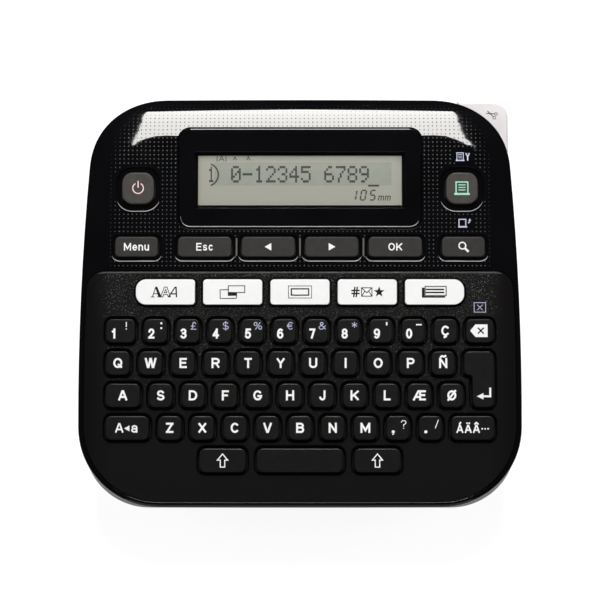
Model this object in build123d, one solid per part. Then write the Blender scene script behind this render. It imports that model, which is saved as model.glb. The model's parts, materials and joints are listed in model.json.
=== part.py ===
from build123d import *
import math
import os

# Desktop label maker. World frame: +X right, +Y to the rear, +Z up, origin under the middle of the box.
# Most of it lies in the face frame: x across, s up the slope, n out of the sloped top face.

# Face and case
FACE_TILT = 12.0
FACE_CENTRE_Y = -4.0
FACE_CENTRE_Z = 54.1
CASE_HALF_WIDTH = 79.0
CASE_FRONT_S = -72.28
CASE_REAR_S = 74.5
CASE_FRONT_RADIUS = 28.7
CASE_REAR_RADIUS = 27.5
WIDEST_S = -32.0
SIDE_CURVE = 993.0
FRONT_CROWN = 0.2
REAR_CROWN = 0.6
RIM_DEPTH = 14.0
WALL = 2.5
SKIN = 2.8
ROLL_LENGTH = 17.5
ROLL_RADIUS = 25.0
ROLL_SWEEP = 85.0
TOP_FILLET = 1.6
RIM_FILLET = 0.25

# Lower case
LOWER_INSET = 0.4
LOWER_FRONT_STEP = 0.62
LOWER_FRONT_RADIUS = 24.4
BASE_SIDE_INSET = 3.0
BASE_FRONT_RAKE = 5.79
BASE_REAR_FLARE = 2.316
BASE_RADIUS = 24.0
BASE_FILLET = 2.0
FLOOR = 2.4
FOOT_HEIGHT = 1.5
FOOT_SINK = 0.4
FOOT_RADIUS = 5.5
FOOT_FILLET = 0.6
FOOT_FRONT_SIDE_INSET = 16.0
FOOT_FRONT_INSET = 18.0
FOOT_REAR_SIDE_INSET = 19.0
FOOT_REAR_INSET = 12.1

# Fits, and how far a cut or a joined piece runs past a face
FIT_GAP = 0.15
COVER_GAP = 0.3
SEAT_GAP = 0.3
RUN_GAP = 0.05
OVERCUT = 1.0
ROOT = 0.5

# Keyboard panel
PANEL_INSET = 2.1
PANEL_TOP_MARGIN = 3.1
PANEL_CORNER = 6.6
PANEL_THICKNESS = 1.8
PANEL_PROUD = 0.6
PANEL_LEDGE = 1.5
PANEL_FILLET = 0.5

# Keys
KEY_GAP = 3.24
KEY_RADIUS = 2.0
KEY_PROUD = 1.4
KEY_FILLET = 0.45
FUNCTION_FILLET = 0.2
KEY_CLEARANCE = 0.75
FLANGE_OVERLAP = 0.5
FLANGE_THICKNESS = 1.2
KEY_POST = 3.0
KEY_BOTTOM_N = -4.5
FIELD_SIDE_INSET = 10.2
NUMBER_ROW_S = -9.9
ROW_COUNT = 5
ROW_GAP = 3.06
FRONT_ROW_INSET = 16.54
DIGIT_ONE_WIDTH = 10.2
BACKSPACE_WIDTH = 9.8
LETTER_Q_WIDTH = 8.4
ENTER_TOP_WIDTH = 10.6
LETTER_A_WIDTH = 12.1
ENTER_FOOT_WIDTH = 7.7
ENTER_STEP_SHARE = 0.45
CAPS_WIDTH = 15.3
ACCENT_WIDTH = 15.2
SHIFT_WIDTH = 16.3
SHIFT_SIDE_INSET = 43.5
SPACE_GAP = 4.0
UPPER_ROW_MIDDLE_KEYS = 10
LOWER_ROW_MIDDLE_KEYS = 9

# White function keys
FUNCTION_NAMES = ["style_key", "label_key", "frame_key", "symbol_key", "file_key"]
FUNCTION_RISE = 13.8
FUNCTION_HEIGHT = 9.0
FUNCTION_SIDE_INSET = 20.6
FUNCTION_GAP = 2.95
FUNCTION_RADIUS = 1.2
FUNCTION_END_RADIUS = 3.7
FUNCTION_CLEARANCE = 0.35

# Fascia keys and buttons
NAV_NAMES = ["esc_key", "left_arrow_key", "right_arrow_key", "ok_key"]
NAV_FRONT_MARGIN = 5.1
NAV_HEIGHT = 7.2
NAV_SIDE_INSET = 12.95
NAV_END_WIDTH = 15.3
NAV_GROUP_GAP = 7.15
NAV_GAP = 3.6
NAV_RADIUS = 1.6
NAV_WELL_MARGIN = 1.0
NAV_WELL_DEPTH = 0.5
BUTTON_SIDE_INSET = 21.0
BUTTON_DROP = 3.75
BUTTON_SIZE = 11.3
BUTTON_RADIUS = 3.6
BUTTON_WELL_MARGIN = 2.1
BUTTON_WELL_DEPTH = 0.8
OPENING_FILLET = 0.4
FASCIA_KEY_PROUD = 0.8
FASCIA_CLEARANCE = 0.4

# Display
BEZEL_BUTTON_GAP = 6.75
BEZEL_FRONT_MARGIN = 3.2
BEZEL_REAR_INSET = 11.4
BEZEL_RADIUS = 4.2
BEZEL_PROUD = 0.2
BEZEL_FILLET = 0.5
BEZEL_TAB = 2.4
BEZEL_TAB_LENGTH = 20.0
BEZEL_TAB_THICKNESS = 1.2
WINDOW_SIDE_MARGIN = 6.8
WINDOW_FRONT_MARGIN = 8.3
WINDOW_REAR_MARGIN = 9.6
WINDOW_FILLET = 0.4
LENS_LEDGE = 0.8
LENS_THICKNESS = 1.0
LENS_SINK = 0.6
GLASS_GAP = 0.1
LCD_MARGIN = 3.5

# Board and keypad sheet
SHEET_TOP_N = -5.8
SHEET_THICKNESS = 1.2
SHEET_INSET = 5.0
SHEET_EAR_WIDTH = 18.0
SHEET_EAR_REAR = 8.5
SHEET_EAR_FRONT = 17.0
BOARD_THICKNESS = 1.6
BOARD_INSET = 4.0
BOARD_REAR_REACH = 4.95
BOARD_BOSS_RADIUS = 2.2
BOARD_BOSS_X_FRONT = 47.0
BOARD_BOSS_X_REAR = 40.0
BOARD_BOSS_RISE = 1.2
SMALL_SCREW_RADIUS = 1.0
SMALL_HEAD_RADIUS = 1.9
SMALL_HEAD_HEIGHT = 1.3
SMALL_SCREW_BITE = 3.0
SMALL_SCREW_GAP = 0.05

# Case screws
CASE_SCREW_S = (-30.0, 30.0)
CASE_BOSS_RADIUS = 3.3
CASE_PILLAR_RADIUS = 4.0
CASE_BOSS_TOP_N = -7.0
CASE_SCREW_RADIUS = 1.45
CASE_HEAD_RADIUS = 2.5
CASE_HEAD_HEIGHT = 2.0
CASE_COUNTERBORE_RADIUS = 2.8
CASE_SCREW_SEAT = 6.0
CASE_SCREW_BITE = 5.5
CASE_BOSS_STANDOFF = 1.7
CASE_BOSS_WEB = 2.4

# Compartment and cover in the underside
COVER_SIDE_INSET = 13.0
COVER_REAR_INSET = 19.1
COVER_THICKNESS = 2.0
COVER_RADIUS = 4.0
COVER_PULL_WIDTH = 22.0
COVER_PULL_LENGTH = 7.0
COVER_PULL_DEPTH = 1.0
COVER_PULL_RADIUS = 2.8

# Batteries
BATTERY_COUNT = 6
BATTERY_RADIUS = 5.25
BATTERY_LENGTH = 44.5
BATTERY_NUB_RADIUS = 1.9
BATTERY_NUB_LENGTH = 1.1
BATTERY_PITCH = 11.4
BATTERY_SIDE_ROOM = 0.8
BAY_WALL = 1.8
BAY_ROOF = 1.8
BAY_HEADROOM = 0.8
CONTACT_ROOM = 2.2
CONTACT_SIZE = 8.0
CONTACT_THICKNESS = 0.5
CONTACT_GAP = 0.1

# Cassette
CASSETTE_PAST_TAPE = 6.0
CASSETTE_FRONT_INSET = 14.0
CASSETTE_REAR_INSET = 4.0
CASSETTE_HEIGHT = 18.0
CASSETTE_WALL = 1.4
CASSETTE_NOTCH_X = 16.0
CASSETTE_NOTCH_Y = 17.0
CASSETTE_MOUTH = 2.0
RIBBON_SUPPLY_OFFSET = 6.0
RIBBON_SUPPLY_INSET = 13.0
RIBBON_SUPPLY_RADIUS = 8.0
RIBBON_TAKEUP_RADIUS = 6.0
SPOOL_POST_RADIUS = 3.0
SPOOL_END_GAP = 0.6
SPOOL_SIDE_GAP = 1.1
SPOOL_SPACING = 7.5

# Tape path, print head and platen
TAPE_SIDE_INSET = 29.0
TAPE_THICKNESS = 0.16
TAPE_MARGIN = 1.0
TAPE_SLOT = 3.0
TAPE_SLOT_START = 8.0
HEAD_GAP = 0.3
HEAD_THICKNESS = 1.0
HEAD_LENGTH = 10.0
SINK_THICKNESS = 3.6
SINK_LENGTH = 13.0
PLATEN_INSET = 7.0
PLATEN_RADIUS = 4.0
PLATEN_SHAFT_RADIUS = 1.25
PLATEN_SLOT_GAP = 0.6
HOLDER_PIVOT_OFFSET = 11.5
HOLDER_REACH = 14.0
HOLDER_PIN_RADIUS = 1.5
HOLDER_HEAD_RADIUS = 2.7
HOLDER_HEAD_HEIGHT = 1.0
HOLDER_COLLAR_RADIUS = 2.25
HOLDER_THICKNESS = 3.0
HOLDER_EYE_RADIUS = 4.0
HOLDER_END_RADIUS = 3.2
HOLDER_BAR_WIDTH = 5.2
HOLDER_ABOVE_CASSETTE = 0.8
HOLDER_SWING = 8.0
SWING_STEPS = 4

# Mechanism frame
FRAME_Z = 27.0
FRAME_THICKNESS = 2.0
FRAME_LEFT_INSET = 1.0
FRAME_PAST_TAPE = 14.5
FRAME_FRONT_REACH = 8.5
FRAME_REAR_REACH = 2.0
FRAME_BOSS_RADIUS = 3.0
FRAME_BOSS_OFFSET = 4.6
FRAME_BOSS_LEFT_INSET = 7.0
FRAME_BOSS_PAST_TAPE = 11.0
FRAME_TAB_MARGIN = 0.5
FRAME_SCREW_LENGTH = 8.0

# Gears
GEAR_MODULE = 0.8
GEAR_THICKNESS = 3.0
GEAR_LIFT = 0.3
GEAR_CENTRE_GAP = 0.15
PINION_TEETH = 10
IDLER_TEETH = 30
PLATEN_TEETH = 14
RIBBON_TEETH = 20
IDLER_POST_RADIUS = 2.0
PLATEN_TO_IDLER_ANGLE = 240.0
IDLER_TO_PINION_ANGLE = 191.0
IDLER_TO_RIBBON_ANGLE = 140.0
SPINDLE_RADIUS = 2.4
SPINDLE_BORE_GAP = 1.0
SPINDLE_LIFT = 2.0
TOOTH_TIP = 0.9
TOOTH_ROOT = 1.2
TOOTH_TIP_HALF = 0.10
TOOTH_ROOT_HALF = 0.29
TOOTH_SINK = 0.2

# Motor
MOTOR_RADIUS = 10.0
MOTOR_LENGTH = 10.5
MOTOR_FILLET = 1.0
MOTOR_SHAFT_RADIUS = 1.0
MOTOR_SHAFT_HOLE = 2.5
MOTOR_BRACKET_GAP = 1.4
MOTOR_BRACKET_THICKNESS = 1.5
MOTOR_POST = 3.0
MOTOR_PLATE = 25.0
MOTOR_PLATE_RIGHT = 10.0
MOTOR_PLATE_REAR = 11.25

# Cutter
LEVER_TOP_N = -8.0
LEVER_THICKNESS = 10.0
LEVER_SIDE_INSET = 3.2
LEVER_REAR_INSET = 0.1
LEVER_LENGTH = 18.3
LEVER_WIDTH = 10.3
LEVER_STEP = 11.8
LEVER_PAST_PIVOT = 0.5
LEVER_CORNER = 6.0
LEVER_FILLET = 0.8
LEVER_GAP = 1.0
LEVER_TOP_GAP = 0.7
LEVER_DROP = 5.0
CUTTER_PAST_TAPE = 8.0
CUTTER_PIVOT_DROP = 12.1
CUTTER_PIN_RADIUS = 1.5
CUTTER_PIN_HEAD_RADIUS = 2.7
CUTTER_PIN_HEAD = 0.9
CUTTER_PIN_END_GAP = 0.3
CUTTER_HUB_RADIUS = 4.0
CUTTER_HUB_LENGTH = 3.6
CUTTER_CARRIER_DROP = 10.0
CUTTER_BRACKET_THICKNESS = 2.5
CUTTER_BRACKET_WIDTH = 12.0
CUTTER_BRACKET_RISE = 2.0
CUTTER_BLADE_THICKNESS = 1.2
CUTTER_BLADE_WIDTH = 5.0
CUTTER_BLADE_OFFSET = 1.2
CUTTER_BLADE_SHOW = 1.0
CUTTER_BLADE_LIFT = 1.5
CUTTER_BLADE_Y_GAP = 2.0

# Power inlet
INLET_X = -40.0
INLET_Z = 12.0
INLET_WIDTH = 9.0
INLET_HEIGHT = 11.0
INLET_DEPTH = 12.0
INLET_BARREL_RADIUS = 4.0
INLET_BARREL_LENGTH = 3.75
INLET_BORE_RADIUS = 2.75
INLET_PIN_RADIUS = 1.0
INLET_PIN_SINK = 1.0
INLET_INSET = 0.6

# Derived places: face
TILT = math.radians(FACE_TILT)
FACE = Plane(
    origin=(0, FACE_CENTRE_Y, FACE_CENTRE_Z),
    x_dir=(1, 0, 0),
    z_dir=(0, -math.sin(TILT), math.cos(TILT)),
)
REACH = 2 * CASE_HALF_WIDTH
ROLL_START_S = CASE_REAR_S - ROLL_LENGTH
FIELD_HALF_WIDTH = CASE_HALF_WIDTH - FIELD_SIDE_INSET
KEY_ROOM = 2 * FIELD_HALF_WIDTH - DIGIT_ONE_WIDTH - BACKSPACE_WIDTH
KEY_WIDTH = (KEY_ROOM - KEY_GAP * (UPPER_ROW_MIDDLE_KEYS + 1)) / UPPER_ROW_MIDDLE_KEYS
ROW_PITCH = (NUMBER_ROW_S - CASE_FRONT_S - FRONT_ROW_INSET) / (ROW_COUNT - 1)
KEY_HEIGHT = ROW_PITCH - ROW_GAP
SPACE_WIDTH = 2 * (CASE_HALF_WIDTH - SHIFT_SIDE_INSET - SHIFT_WIDTH - SPACE_GAP)
FUNCTION_COUNT = len(FUNCTION_NAMES)
FUNCTION_ROOM = 2 * (CASE_HALF_WIDTH - FUNCTION_SIDE_INSET)
FUNCTION_WIDTH = (FUNCTION_ROOM - FUNCTION_GAP * (FUNCTION_COUNT - 1)) / FUNCTION_COUNT
FUNCTION_PITCH = FUNCTION_WIDTH + FUNCTION_GAP
FUNCTION_S = NUMBER_ROW_S + FUNCTION_RISE
PANEL_TOP_S = FUNCTION_S + FUNCTION_HEIGHT / 2 + PANEL_TOP_MARGIN
PANEL_BOTTOM_N = PANEL_PROUD - PANEL_THICKNESS
NAV_S = PANEL_TOP_S + NAV_FRONT_MARGIN + NAV_HEIGHT / 2
NAV_END_X = CASE_HALF_WIDTH - NAV_SIDE_INSET - NAV_END_WIDTH / 2
NAV_ROOM = 2 * (NAV_END_X - NAV_END_WIDTH / 2 - NAV_GROUP_GAP)
NAV_PITCH = (NAV_ROOM + NAV_GAP) / len(NAV_NAMES)
NAV_WIDTH = NAV_PITCH - NAV_GAP
BEZEL_FRONT_S = NAV_S + NAV_HEIGHT / 2 + BEZEL_FRONT_MARGIN
BEZEL_LENGTH = CASE_REAR_S - BEZEL_REAR_INSET - BEZEL_FRONT_S
BEZEL_S = BEZEL_FRONT_S + BEZEL_LENGTH / 2
BUTTON_X = CASE_HALF_WIDTH - BUTTON_SIDE_INSET
BUTTON_S = BEZEL_S - BUTTON_DROP
BEZEL_WIDTH = 2 * (BUTTON_X - BUTTON_SIZE / 2 - BUTTON_WELL_MARGIN - BEZEL_BUTTON_GAP)
WINDOW_WIDTH = BEZEL_WIDTH - 2 * WINDOW_SIDE_MARGIN
WINDOW_LENGTH = BEZEL_LENGTH - WINDOW_FRONT_MARGIN - WINDOW_REAR_MARGIN
WINDOW_S = BEZEL_FRONT_S + WINDOW_FRONT_MARGIN + WINDOW_LENGTH / 2
LENS_TOP_N = BEZEL_PROUD - LENS_SINK
LENS_BOTTOM_N = LENS_TOP_N - LENS_THICKNESS
BOARD_TOP_N = SHEET_TOP_N - SHEET_THICKNESS
BOARD_BOTTOM_N = BOARD_TOP_N - BOARD_THICKNESS
BOARD_REAR_S = BEZEL_S + BOARD_REAR_REACH
BOARD_BOSS_S_REAR = PANEL_TOP_S + BOARD_BOSS_RISE

# Derived places: underside and compartment
CASE_BOTTOM_Z = FOOT_HEIGHT
FLOOR_TOP_Z = CASE_BOTTOM_Z + FLOOR
RIM_Y = FACE_CENTRE_Y + RIM_DEPTH * math.sin(TILT)
BASE_HALF_WIDTH = CASE_HALF_WIDTH - BASE_SIDE_INSET
BASE_FRONT_Y = RIM_Y + CASE_FRONT_S * math.cos(TILT) + BASE_FRONT_RAKE
BASE_REAR_Y = RIM_Y + CASE_REAR_S * math.cos(TILT) + BASE_REAR_FLARE
COVER_TOP_Z = CASE_BOTTOM_Z + COVER_THICKNESS
COVER_WIDTH = 2 * (BASE_HALF_WIDTH - COVER_SIDE_INSET)
COVER_LENGTH = BATTERY_COUNT * BATTERY_PITCH + 2 * BATTERY_SIDE_ROOM
COVER_REAR_Y = BASE_REAR_Y - COVER_REAR_INSET
COVER_FRONT_Y = COVER_REAR_Y - COVER_LENGTH
COVER_Y = (COVER_FRONT_Y + COVER_REAR_Y) / 2
BAY_LEFT_X = -COVER_WIDTH / 2
BAY_RIGHT_X = BAY_LEFT_X + BATTERY_LENGTH + 2 * CONTACT_ROOM
BAY_X = (BAY_LEFT_X + BAY_RIGHT_X) / 2
BATTERY_Z = COVER_TOP_Z + SEAT_GAP + BATTERY_RADIUS
BAY_TOP_Z = BATTERY_Z + BATTERY_RADIUS + BAY_HEADROOM

# Derived places: cassette and mechanism
TAPE_X = CASE_HALF_WIDTH - TAPE_SIDE_INSET
CASSETTE_LEFT_X = BAY_RIGHT_X + BAY_WALL + COVER_GAP
CASSETTE_RIGHT_X = TAPE_X + CASSETTE_PAST_TAPE
CASSETTE_FRONT_Y = COVER_FRONT_Y + CASSETTE_FRONT_INSET
CASSETTE_REAR_Y = COVER_REAR_Y - CASSETTE_REAR_INSET
CASSETTE_Z = COVER_TOP_Z + SEAT_GAP
CASSETTE_TOP_Z = CASSETTE_Z + CASSETTE_HEIGHT
RIBBON_SUPPLY_X = TAPE_X - RIBBON_SUPPLY_OFFSET
RIBBON_SUPPLY_Y = CASSETTE_FRONT_Y + RIBBON_SUPPLY_INSET
SPOOL_LEFT_X = CASSETTE_LEFT_X + CASSETTE_WALL + SPOOL_SIDE_GAP
SPOOL_ROOM_X = RIBBON_SUPPLY_X - RIBBON_SUPPLY_RADIUS - SPOOL_SPACING - SPOOL_LEFT_X
SPOOL_ROOM_Y = CASSETTE_REAR_Y - CASSETTE_FRONT_Y - 2 * (CASSETTE_WALL + SPOOL_SIDE_GAP)
TAPE_SPOOL_RADIUS = min(SPOOL_ROOM_X, SPOOL_ROOM_Y) / 2
TAPE_SPOOL_X = SPOOL_LEFT_X + TAPE_SPOOL_RADIUS
TAPE_SPOOL_Y = (CASSETTE_FRONT_Y + CASSETTE_REAR_Y) / 2
FRAME_TOP_Z = FRAME_Z + FRAME_THICKNESS
FRAME_LEFT_X = CASSETTE_LEFT_X + FRAME_LEFT_INSET
FRAME_RIGHT_X = TAPE_X + FRAME_PAST_TAPE
FRAME_FRONT_Y = COVER_FRONT_Y - FRAME_FRONT_REACH
FRAME_REAR_Y = COVER_REAR_Y + FRAME_REAR_REACH
GEAR_Z = FRAME_TOP_Z + GEAR_LIFT
GEAR_TOP_Z = GEAR_Z + GEAR_THICKNESS
PLATEN_X = TAPE_X + TAPE_THICKNESS / 2 + HEAD_GAP + PLATEN_RADIUS
PLATEN_Y = CASSETTE_REAR_Y - PLATEN_INSET
HOLDER_PIVOT_X = TAPE_X + HOLDER_PIVOT_OFFSET
HOLDER_PIVOT_Y = PLATEN_Y - HOLDER_REACH
HOLDER_Z = CASSETTE_TOP_Z + HOLDER_ABOVE_CASSETTE
HOLDER_TOP_Z = HOLDER_Z + HOLDER_THICKNESS
MOTOR_BRACKET_Z = GEAR_TOP_Z + MOTOR_BRACKET_GAP
MOTOR_Z = MOTOR_BRACKET_Z + MOTOR_BRACKET_THICKNESS
SHAFT_TOP_Z = MOTOR_Z + MOTOR_LENGTH / 2

# Derived places: cutter
CUTTER_PIVOT_X = TAPE_X + CUTTER_PAST_TAPE
CUTTER_PIVOT_Z = FACE_CENTRE_Z - CUTTER_PIVOT_DROP
LEVER_RIGHT_X = CASE_HALF_WIDTH - LEVER_SIDE_INSET
LEVER_STEP_X = LEVER_RIGHT_X - LEVER_WIDTH
LEVER_LEFT_X = CUTTER_PIVOT_X - LEVER_PAST_PIVOT
LEVER_REAR_S = CASE_REAR_S - LEVER_REAR_INSET
LEVER_FRONT_S = LEVER_REAR_S - LEVER_LENGTH
LEVER_STEP_S = LEVER_REAR_S - LEVER_STEP
BRACKET_Y = FRAME_REAR_Y - CUTTER_BRACKET_THICKNESS
BLADE_Y = FRAME_REAR_Y + CUTTER_BLADE_Y_GAP
HUB_Y = BLADE_Y + CUTTER_BLADE_THICKNESS
HUB_REAR_Y = HUB_Y + CUTTER_HUB_LENGTH


def polar(x, y, angle, distance):
    turn = math.radians(angle)
    return (x + distance * math.cos(turn), y + distance * math.sin(turn))


def centre_distance(teeth_a, teeth_b):
    return GEAR_MODULE * (teeth_a + teeth_b) / 2 + GEAR_CENTRE_GAP


PLATEN_CENTRES = centre_distance(PLATEN_TEETH, IDLER_TEETH)
PINION_CENTRES = centre_distance(IDLER_TEETH, PINION_TEETH)
RIBBON_CENTRES = centre_distance(IDLER_TEETH, RIBBON_TEETH)
IDLER_X, IDLER_Y = polar(PLATEN_X, PLATEN_Y, PLATEN_TO_IDLER_ANGLE, PLATEN_CENTRES)
PINION_X, PINION_Y = polar(IDLER_X, IDLER_Y, IDLER_TO_PINION_ANGLE, PINION_CENTRES)
RIBBON_X, RIBBON_Y = polar(IDLER_X, IDLER_Y, IDLER_TO_RIBBON_ANGLE, RIBBON_CENTRES)


def on_face(shape):
    """Moves a shape from the face frame to the world frame."""
    return FACE.location * shape


def side_x(s, half_width):
    """Half width of the gently bowed side at a place along the slope."""
    return half_width - (s - WIDEST_S) ** 2 / (2 * SIDE_CURVE)


def bowed_outline(half_width, front, rear, front_radius, rear_radius):
    """Rounded outline with bowed sides and slightly crowned ends."""
    middle = (front + rear) / 2
    front_x = side_x(front, half_width)
    middle_x = side_x(middle, half_width)
    rear_x = side_x(rear, half_width)
    edges = [
        ThreePointArc((-front_x, front), (0, front - FRONT_CROWN), (front_x, front)),
        ThreePointArc((front_x, front), (middle_x, middle), (rear_x, rear)),
        ThreePointArc((rear_x, rear), (0, rear + REAR_CROWN), (-rear_x, rear)),
        ThreePointArc((-rear_x, rear), (-middle_x, middle), (-front_x, front)),
    ]
    outline = make_face(edges)
    outline = fillet(outline.vertices().sort_by(Axis.Y)[:2], front_radius)
    return fillet(outline.vertices().sort_by(Axis.Y)[-2:], rear_radius)


def case_outline(inset=0.0):
    return bowed_outline(
        CASE_HALF_WIDTH - inset,
        CASE_FRONT_S + inset,
        CASE_REAR_S - inset,
        CASE_FRONT_RADIUS - inset,
        CASE_REAR_RADIUS - inset,
    )


def lower_outline(inset=0.0):
    inset = inset + LOWER_INSET
    return bowed_outline(
        CASE_HALF_WIDTH - inset,
        CASE_FRONT_S - LOWER_INSET - LOWER_FRONT_STEP + inset,
        CASE_REAR_S - inset,
        LOWER_FRONT_RADIUS - inset,
        CASE_REAR_RADIUS - inset,
    )


def base_outline(inset=0.0):
    return bowed_outline(
        BASE_HALF_WIDTH - inset,
        BASE_FRONT_Y + inset,
        BASE_REAR_Y - inset,
        BASE_RADIUS - inset,
        BASE_RADIUS - inset,
    )


def roll_envelope(drop):
    """All that lies below the top face and its rolled rear edge, both lowered by drop."""
    radius = ROLL_RADIUS - drop
    end = math.radians(ROLL_SWEEP)
    depth = RIM_DEPTH * 2
    half = end / 2
    start = (ROLL_START_S, -drop)
    mid = (ROLL_START_S + radius * math.sin(half), -ROLL_RADIUS + radius * math.cos(half))
    stop = (ROLL_START_S + radius * math.sin(end), -ROLL_RADIUS + radius * math.cos(end))
    edges = [
        Polyline(stop, (stop[0], -depth), (-REACH, -depth), (-REACH, -drop), start),
        ThreePointArc(start, mid, stop),
    ]
    profile = make_face(edges)
    return extrude(Plane.YZ * profile, amount=REACH, both=True)


def slab(sketch, bottom, top):
    """A flat outline made solid between two heights."""
    return extrude(Pos(0, 0, bottom) * sketch, amount=top - bottom)


def rod(x, y, radius, bottom, top):
    return slab(Pos(x, y) * Circle(radius), bottom, top)


def block(x0, x1, y0, y1, z0, z1):
    return Pos((x0 + x1) / 2, (y0 + y1) / 2, (z0 + z1) / 2) * Box(x1 - x0, y1 - y0, z1 - z0)


def cross_disc(x, y, z, radius):
    """A disc that faces the front, for pins and bores along Y: it extrudes towards the front."""
    return Pos(x, y, z) * Rot(90, 0, 0) * Circle(radius)


def round_top(solid, radius):
    return fillet(solid.faces().sort_by(Axis.Z)[-1].edges(), radius)


# Key layout: each entry is the outline of one key in the face frame


def key_rectangle(x, s, width, height, radius):
    return Pos(x, s) * RectangleRounded(width, height, radius)


def row_s(row):
    return NUMBER_ROW_S - ROW_PITCH * row


def row_places(first, middle_count, last):
    """Centres and widths of a full row: a first key, equal keys and a last key."""
    free = 2 * FIELD_HALF_WIDTH - first - last - middle_count * KEY_WIDTH
    gap = free / (middle_count + 1)
    places = []
    left = -FIELD_HALF_WIDTH
    for width in [first] + [KEY_WIDTH] * middle_count + [last]:
        places.append((left + width / 2, width))
        left = left + width + gap
    return places


def row_outlines(row, places):
    return [key_rectangle(x, row_s(row), width, KEY_HEIGHT, KEY_RADIUS) for x, width in places]


def enter_outline():
    """Enter spans two rows: a wide top and a narrower foot, flush at the right."""
    top = row_s(1) + KEY_HEIGHT / 2
    notch = row_s(1) - KEY_HEIGHT / 2
    bottom = row_s(2) - KEY_HEIGHT / 2
    right = FIELD_HALF_WIDTH
    corners = [
        (right, top),
        (right - ENTER_TOP_WIDTH, top),
        (right - ENTER_TOP_WIDTH, notch),
        (right - ENTER_FOOT_WIDTH, notch),
        (right - ENTER_FOOT_WIDTH, bottom),
        (right, bottom),
    ]
    outline = make_face(Polyline(*corners, close=True))
    inner = outline.vertices().sort_by(Axis.Y)[2:4]
    outline = fillet(inner, min(KEY_RADIUS, (ENTER_TOP_WIDTH - ENTER_FOOT_WIDTH) * ENTER_STEP_SHARE))
    ends = outline.vertices().sort_by(Axis.Y)
    return fillet(ends[:2] + ends[-2:], KEY_RADIUS)


def function_outline(place, last):
    """The first and last function keys have larger outer corners."""
    x = (place - last / 2) * FUNCTION_PITCH
    outline = Pos(x, FUNCTION_S) * Rectangle(FUNCTION_WIDTH, FUNCTION_HEIGHT)
    left = FUNCTION_END_RADIUS if place == 0 else FUNCTION_RADIUS
    right = FUNCTION_END_RADIUS if place == last else FUNCTION_RADIUS
    outline = fillet(outline.vertices().sort_by(Axis.X)[:2], left)
    return fillet(outline.vertices().sort_by(Axis.X)[-2:], right)


def panel_keys():
    """Outlines of the keys that come through the keyboard panel, by node."""
    number = row_places(DIGIT_ONE_WIDTH, UPPER_ROW_MIDDLE_KEYS, BACKSPACE_WIDTH)
    upper = row_places(LETTER_Q_WIDTH, UPPER_ROW_MIDDLE_KEYS, ENTER_TOP_WIDTH)
    middle = row_places(LETTER_A_WIDTH, UPPER_ROW_MIDDLE_KEYS, ENTER_FOOT_WIDTH)
    lower = row_places(CAPS_WIDTH, LOWER_ROW_MIDDLE_KEYS, ACCENT_WIDTH)
    shift_x = SPACE_WIDTH / 2 + SPACE_GAP + SHIFT_WIDTH / 2
    keys = {
        "number_row_keys": row_outlines(0, number[:-1]),
        "backspace_key": row_outlines(0, number[-1:]),
        "upper_letter_row_keys": row_outlines(1, upper[:-1]),
        "enter_key": [enter_outline()],
        "middle_letter_row_keys": row_outlines(2, middle[:-1]),
        "caps_key": row_outlines(3, lower[:1]),
        "lower_letter_row_keys": row_outlines(3, lower[1:-1]),
        "accent_key": row_outlines(3, lower[-1:]),
        "left_shift_key": row_outlines(4, [(-shift_x, SHIFT_WIDTH)]),
        "space_key": row_outlines(4, [(0, SPACE_WIDTH)]),
        "right_shift_key": row_outlines(4, [(shift_x, SHIFT_WIDTH)]),
    }
    for place, name in enumerate(FUNCTION_NAMES):
        keys[name] = [function_outline(place, FUNCTION_COUNT - 1)]
    return keys


def split_keys(function):
    """The panel's keys: its white function keys, or all the others."""
    return {name: outlines for name, outlines in panel_keys().items() if (name in FUNCTION_NAMES) == function}


def fascia_keys():
    """Outlines of the keys that come through the gloss fascia, by node."""
    keys = {
        "menu_key": [key_rectangle(-NAV_END_X, NAV_S, NAV_END_WIDTH, NAV_HEIGHT, NAV_RADIUS)],
        "search_key": [key_rectangle(NAV_END_X, NAV_S, NAV_END_WIDTH, NAV_HEIGHT, NAV_RADIUS)],
    }
    for place, name in enumerate(NAV_NAMES):
        x = (place - (len(NAV_NAMES) - 1) / 2) * NAV_PITCH
        keys[name] = [key_rectangle(x, NAV_S, NAV_WIDTH, NAV_HEIGHT, NAV_RADIUS)]
    return keys


def side_buttons():
    power = key_rectangle(-BUTTON_X, BUTTON_S, BUTTON_SIZE, BUTTON_SIZE, BUTTON_RADIUS)
    print_ = key_rectangle(BUTTON_X, BUTTON_S, BUTTON_SIZE, BUTTON_SIZE, BUTTON_RADIUS)
    return {"power_button": [power], "print_button": [print_]}


def key_solid(outline, top, ceiling, clearance, edge):
    """A cap, the flange that keeps it in under the ceiling and the post that works the sheet."""
    flange_top = ceiling - SEAT_GAP
    flange_bottom = flange_top - FLANGE_THICKNESS
    cap = round_top(slab(outline, flange_bottom, top), edge)
    wide = offset(outline, amount=clearance + FLANGE_OVERLAP)
    flange = slab(wide, flange_bottom, flange_top)
    middle = outline.center()
    post_outline = Pos(middle.X, middle.Y) * Rectangle(KEY_POST, KEY_POST)
    return cap + flange + slab(post_outline, KEY_BOTTOM_N, flange_bottom)


def key_nodes(keys, top, ceiling, clearance, edge):
    nodes = {}
    for name, outlines in keys.items():
        solids = [on_face(key_solid(outline, top, ceiling, clearance, edge)) for outline in outlines]
        nodes[name] = solids
    return nodes


def apertures(keys, clearance, bottom, top):
    """One through cut for each key."""
    cuts = []
    for outlines in keys.values():
        for outline in outlines:
            cuts.append(slab(offset(outline, amount=clearance), bottom, top))
    return cuts


# Case


def case_screw_places():
    places = []
    for s in CASE_SCREW_S:
        x = side_x(s, CASE_HALF_WIDTH) - WALL - CASE_BOSS_RADIUS - CASE_BOSS_STANDOFF
        places.append((-x, s))
        places.append((x, s))
    return places


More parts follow.
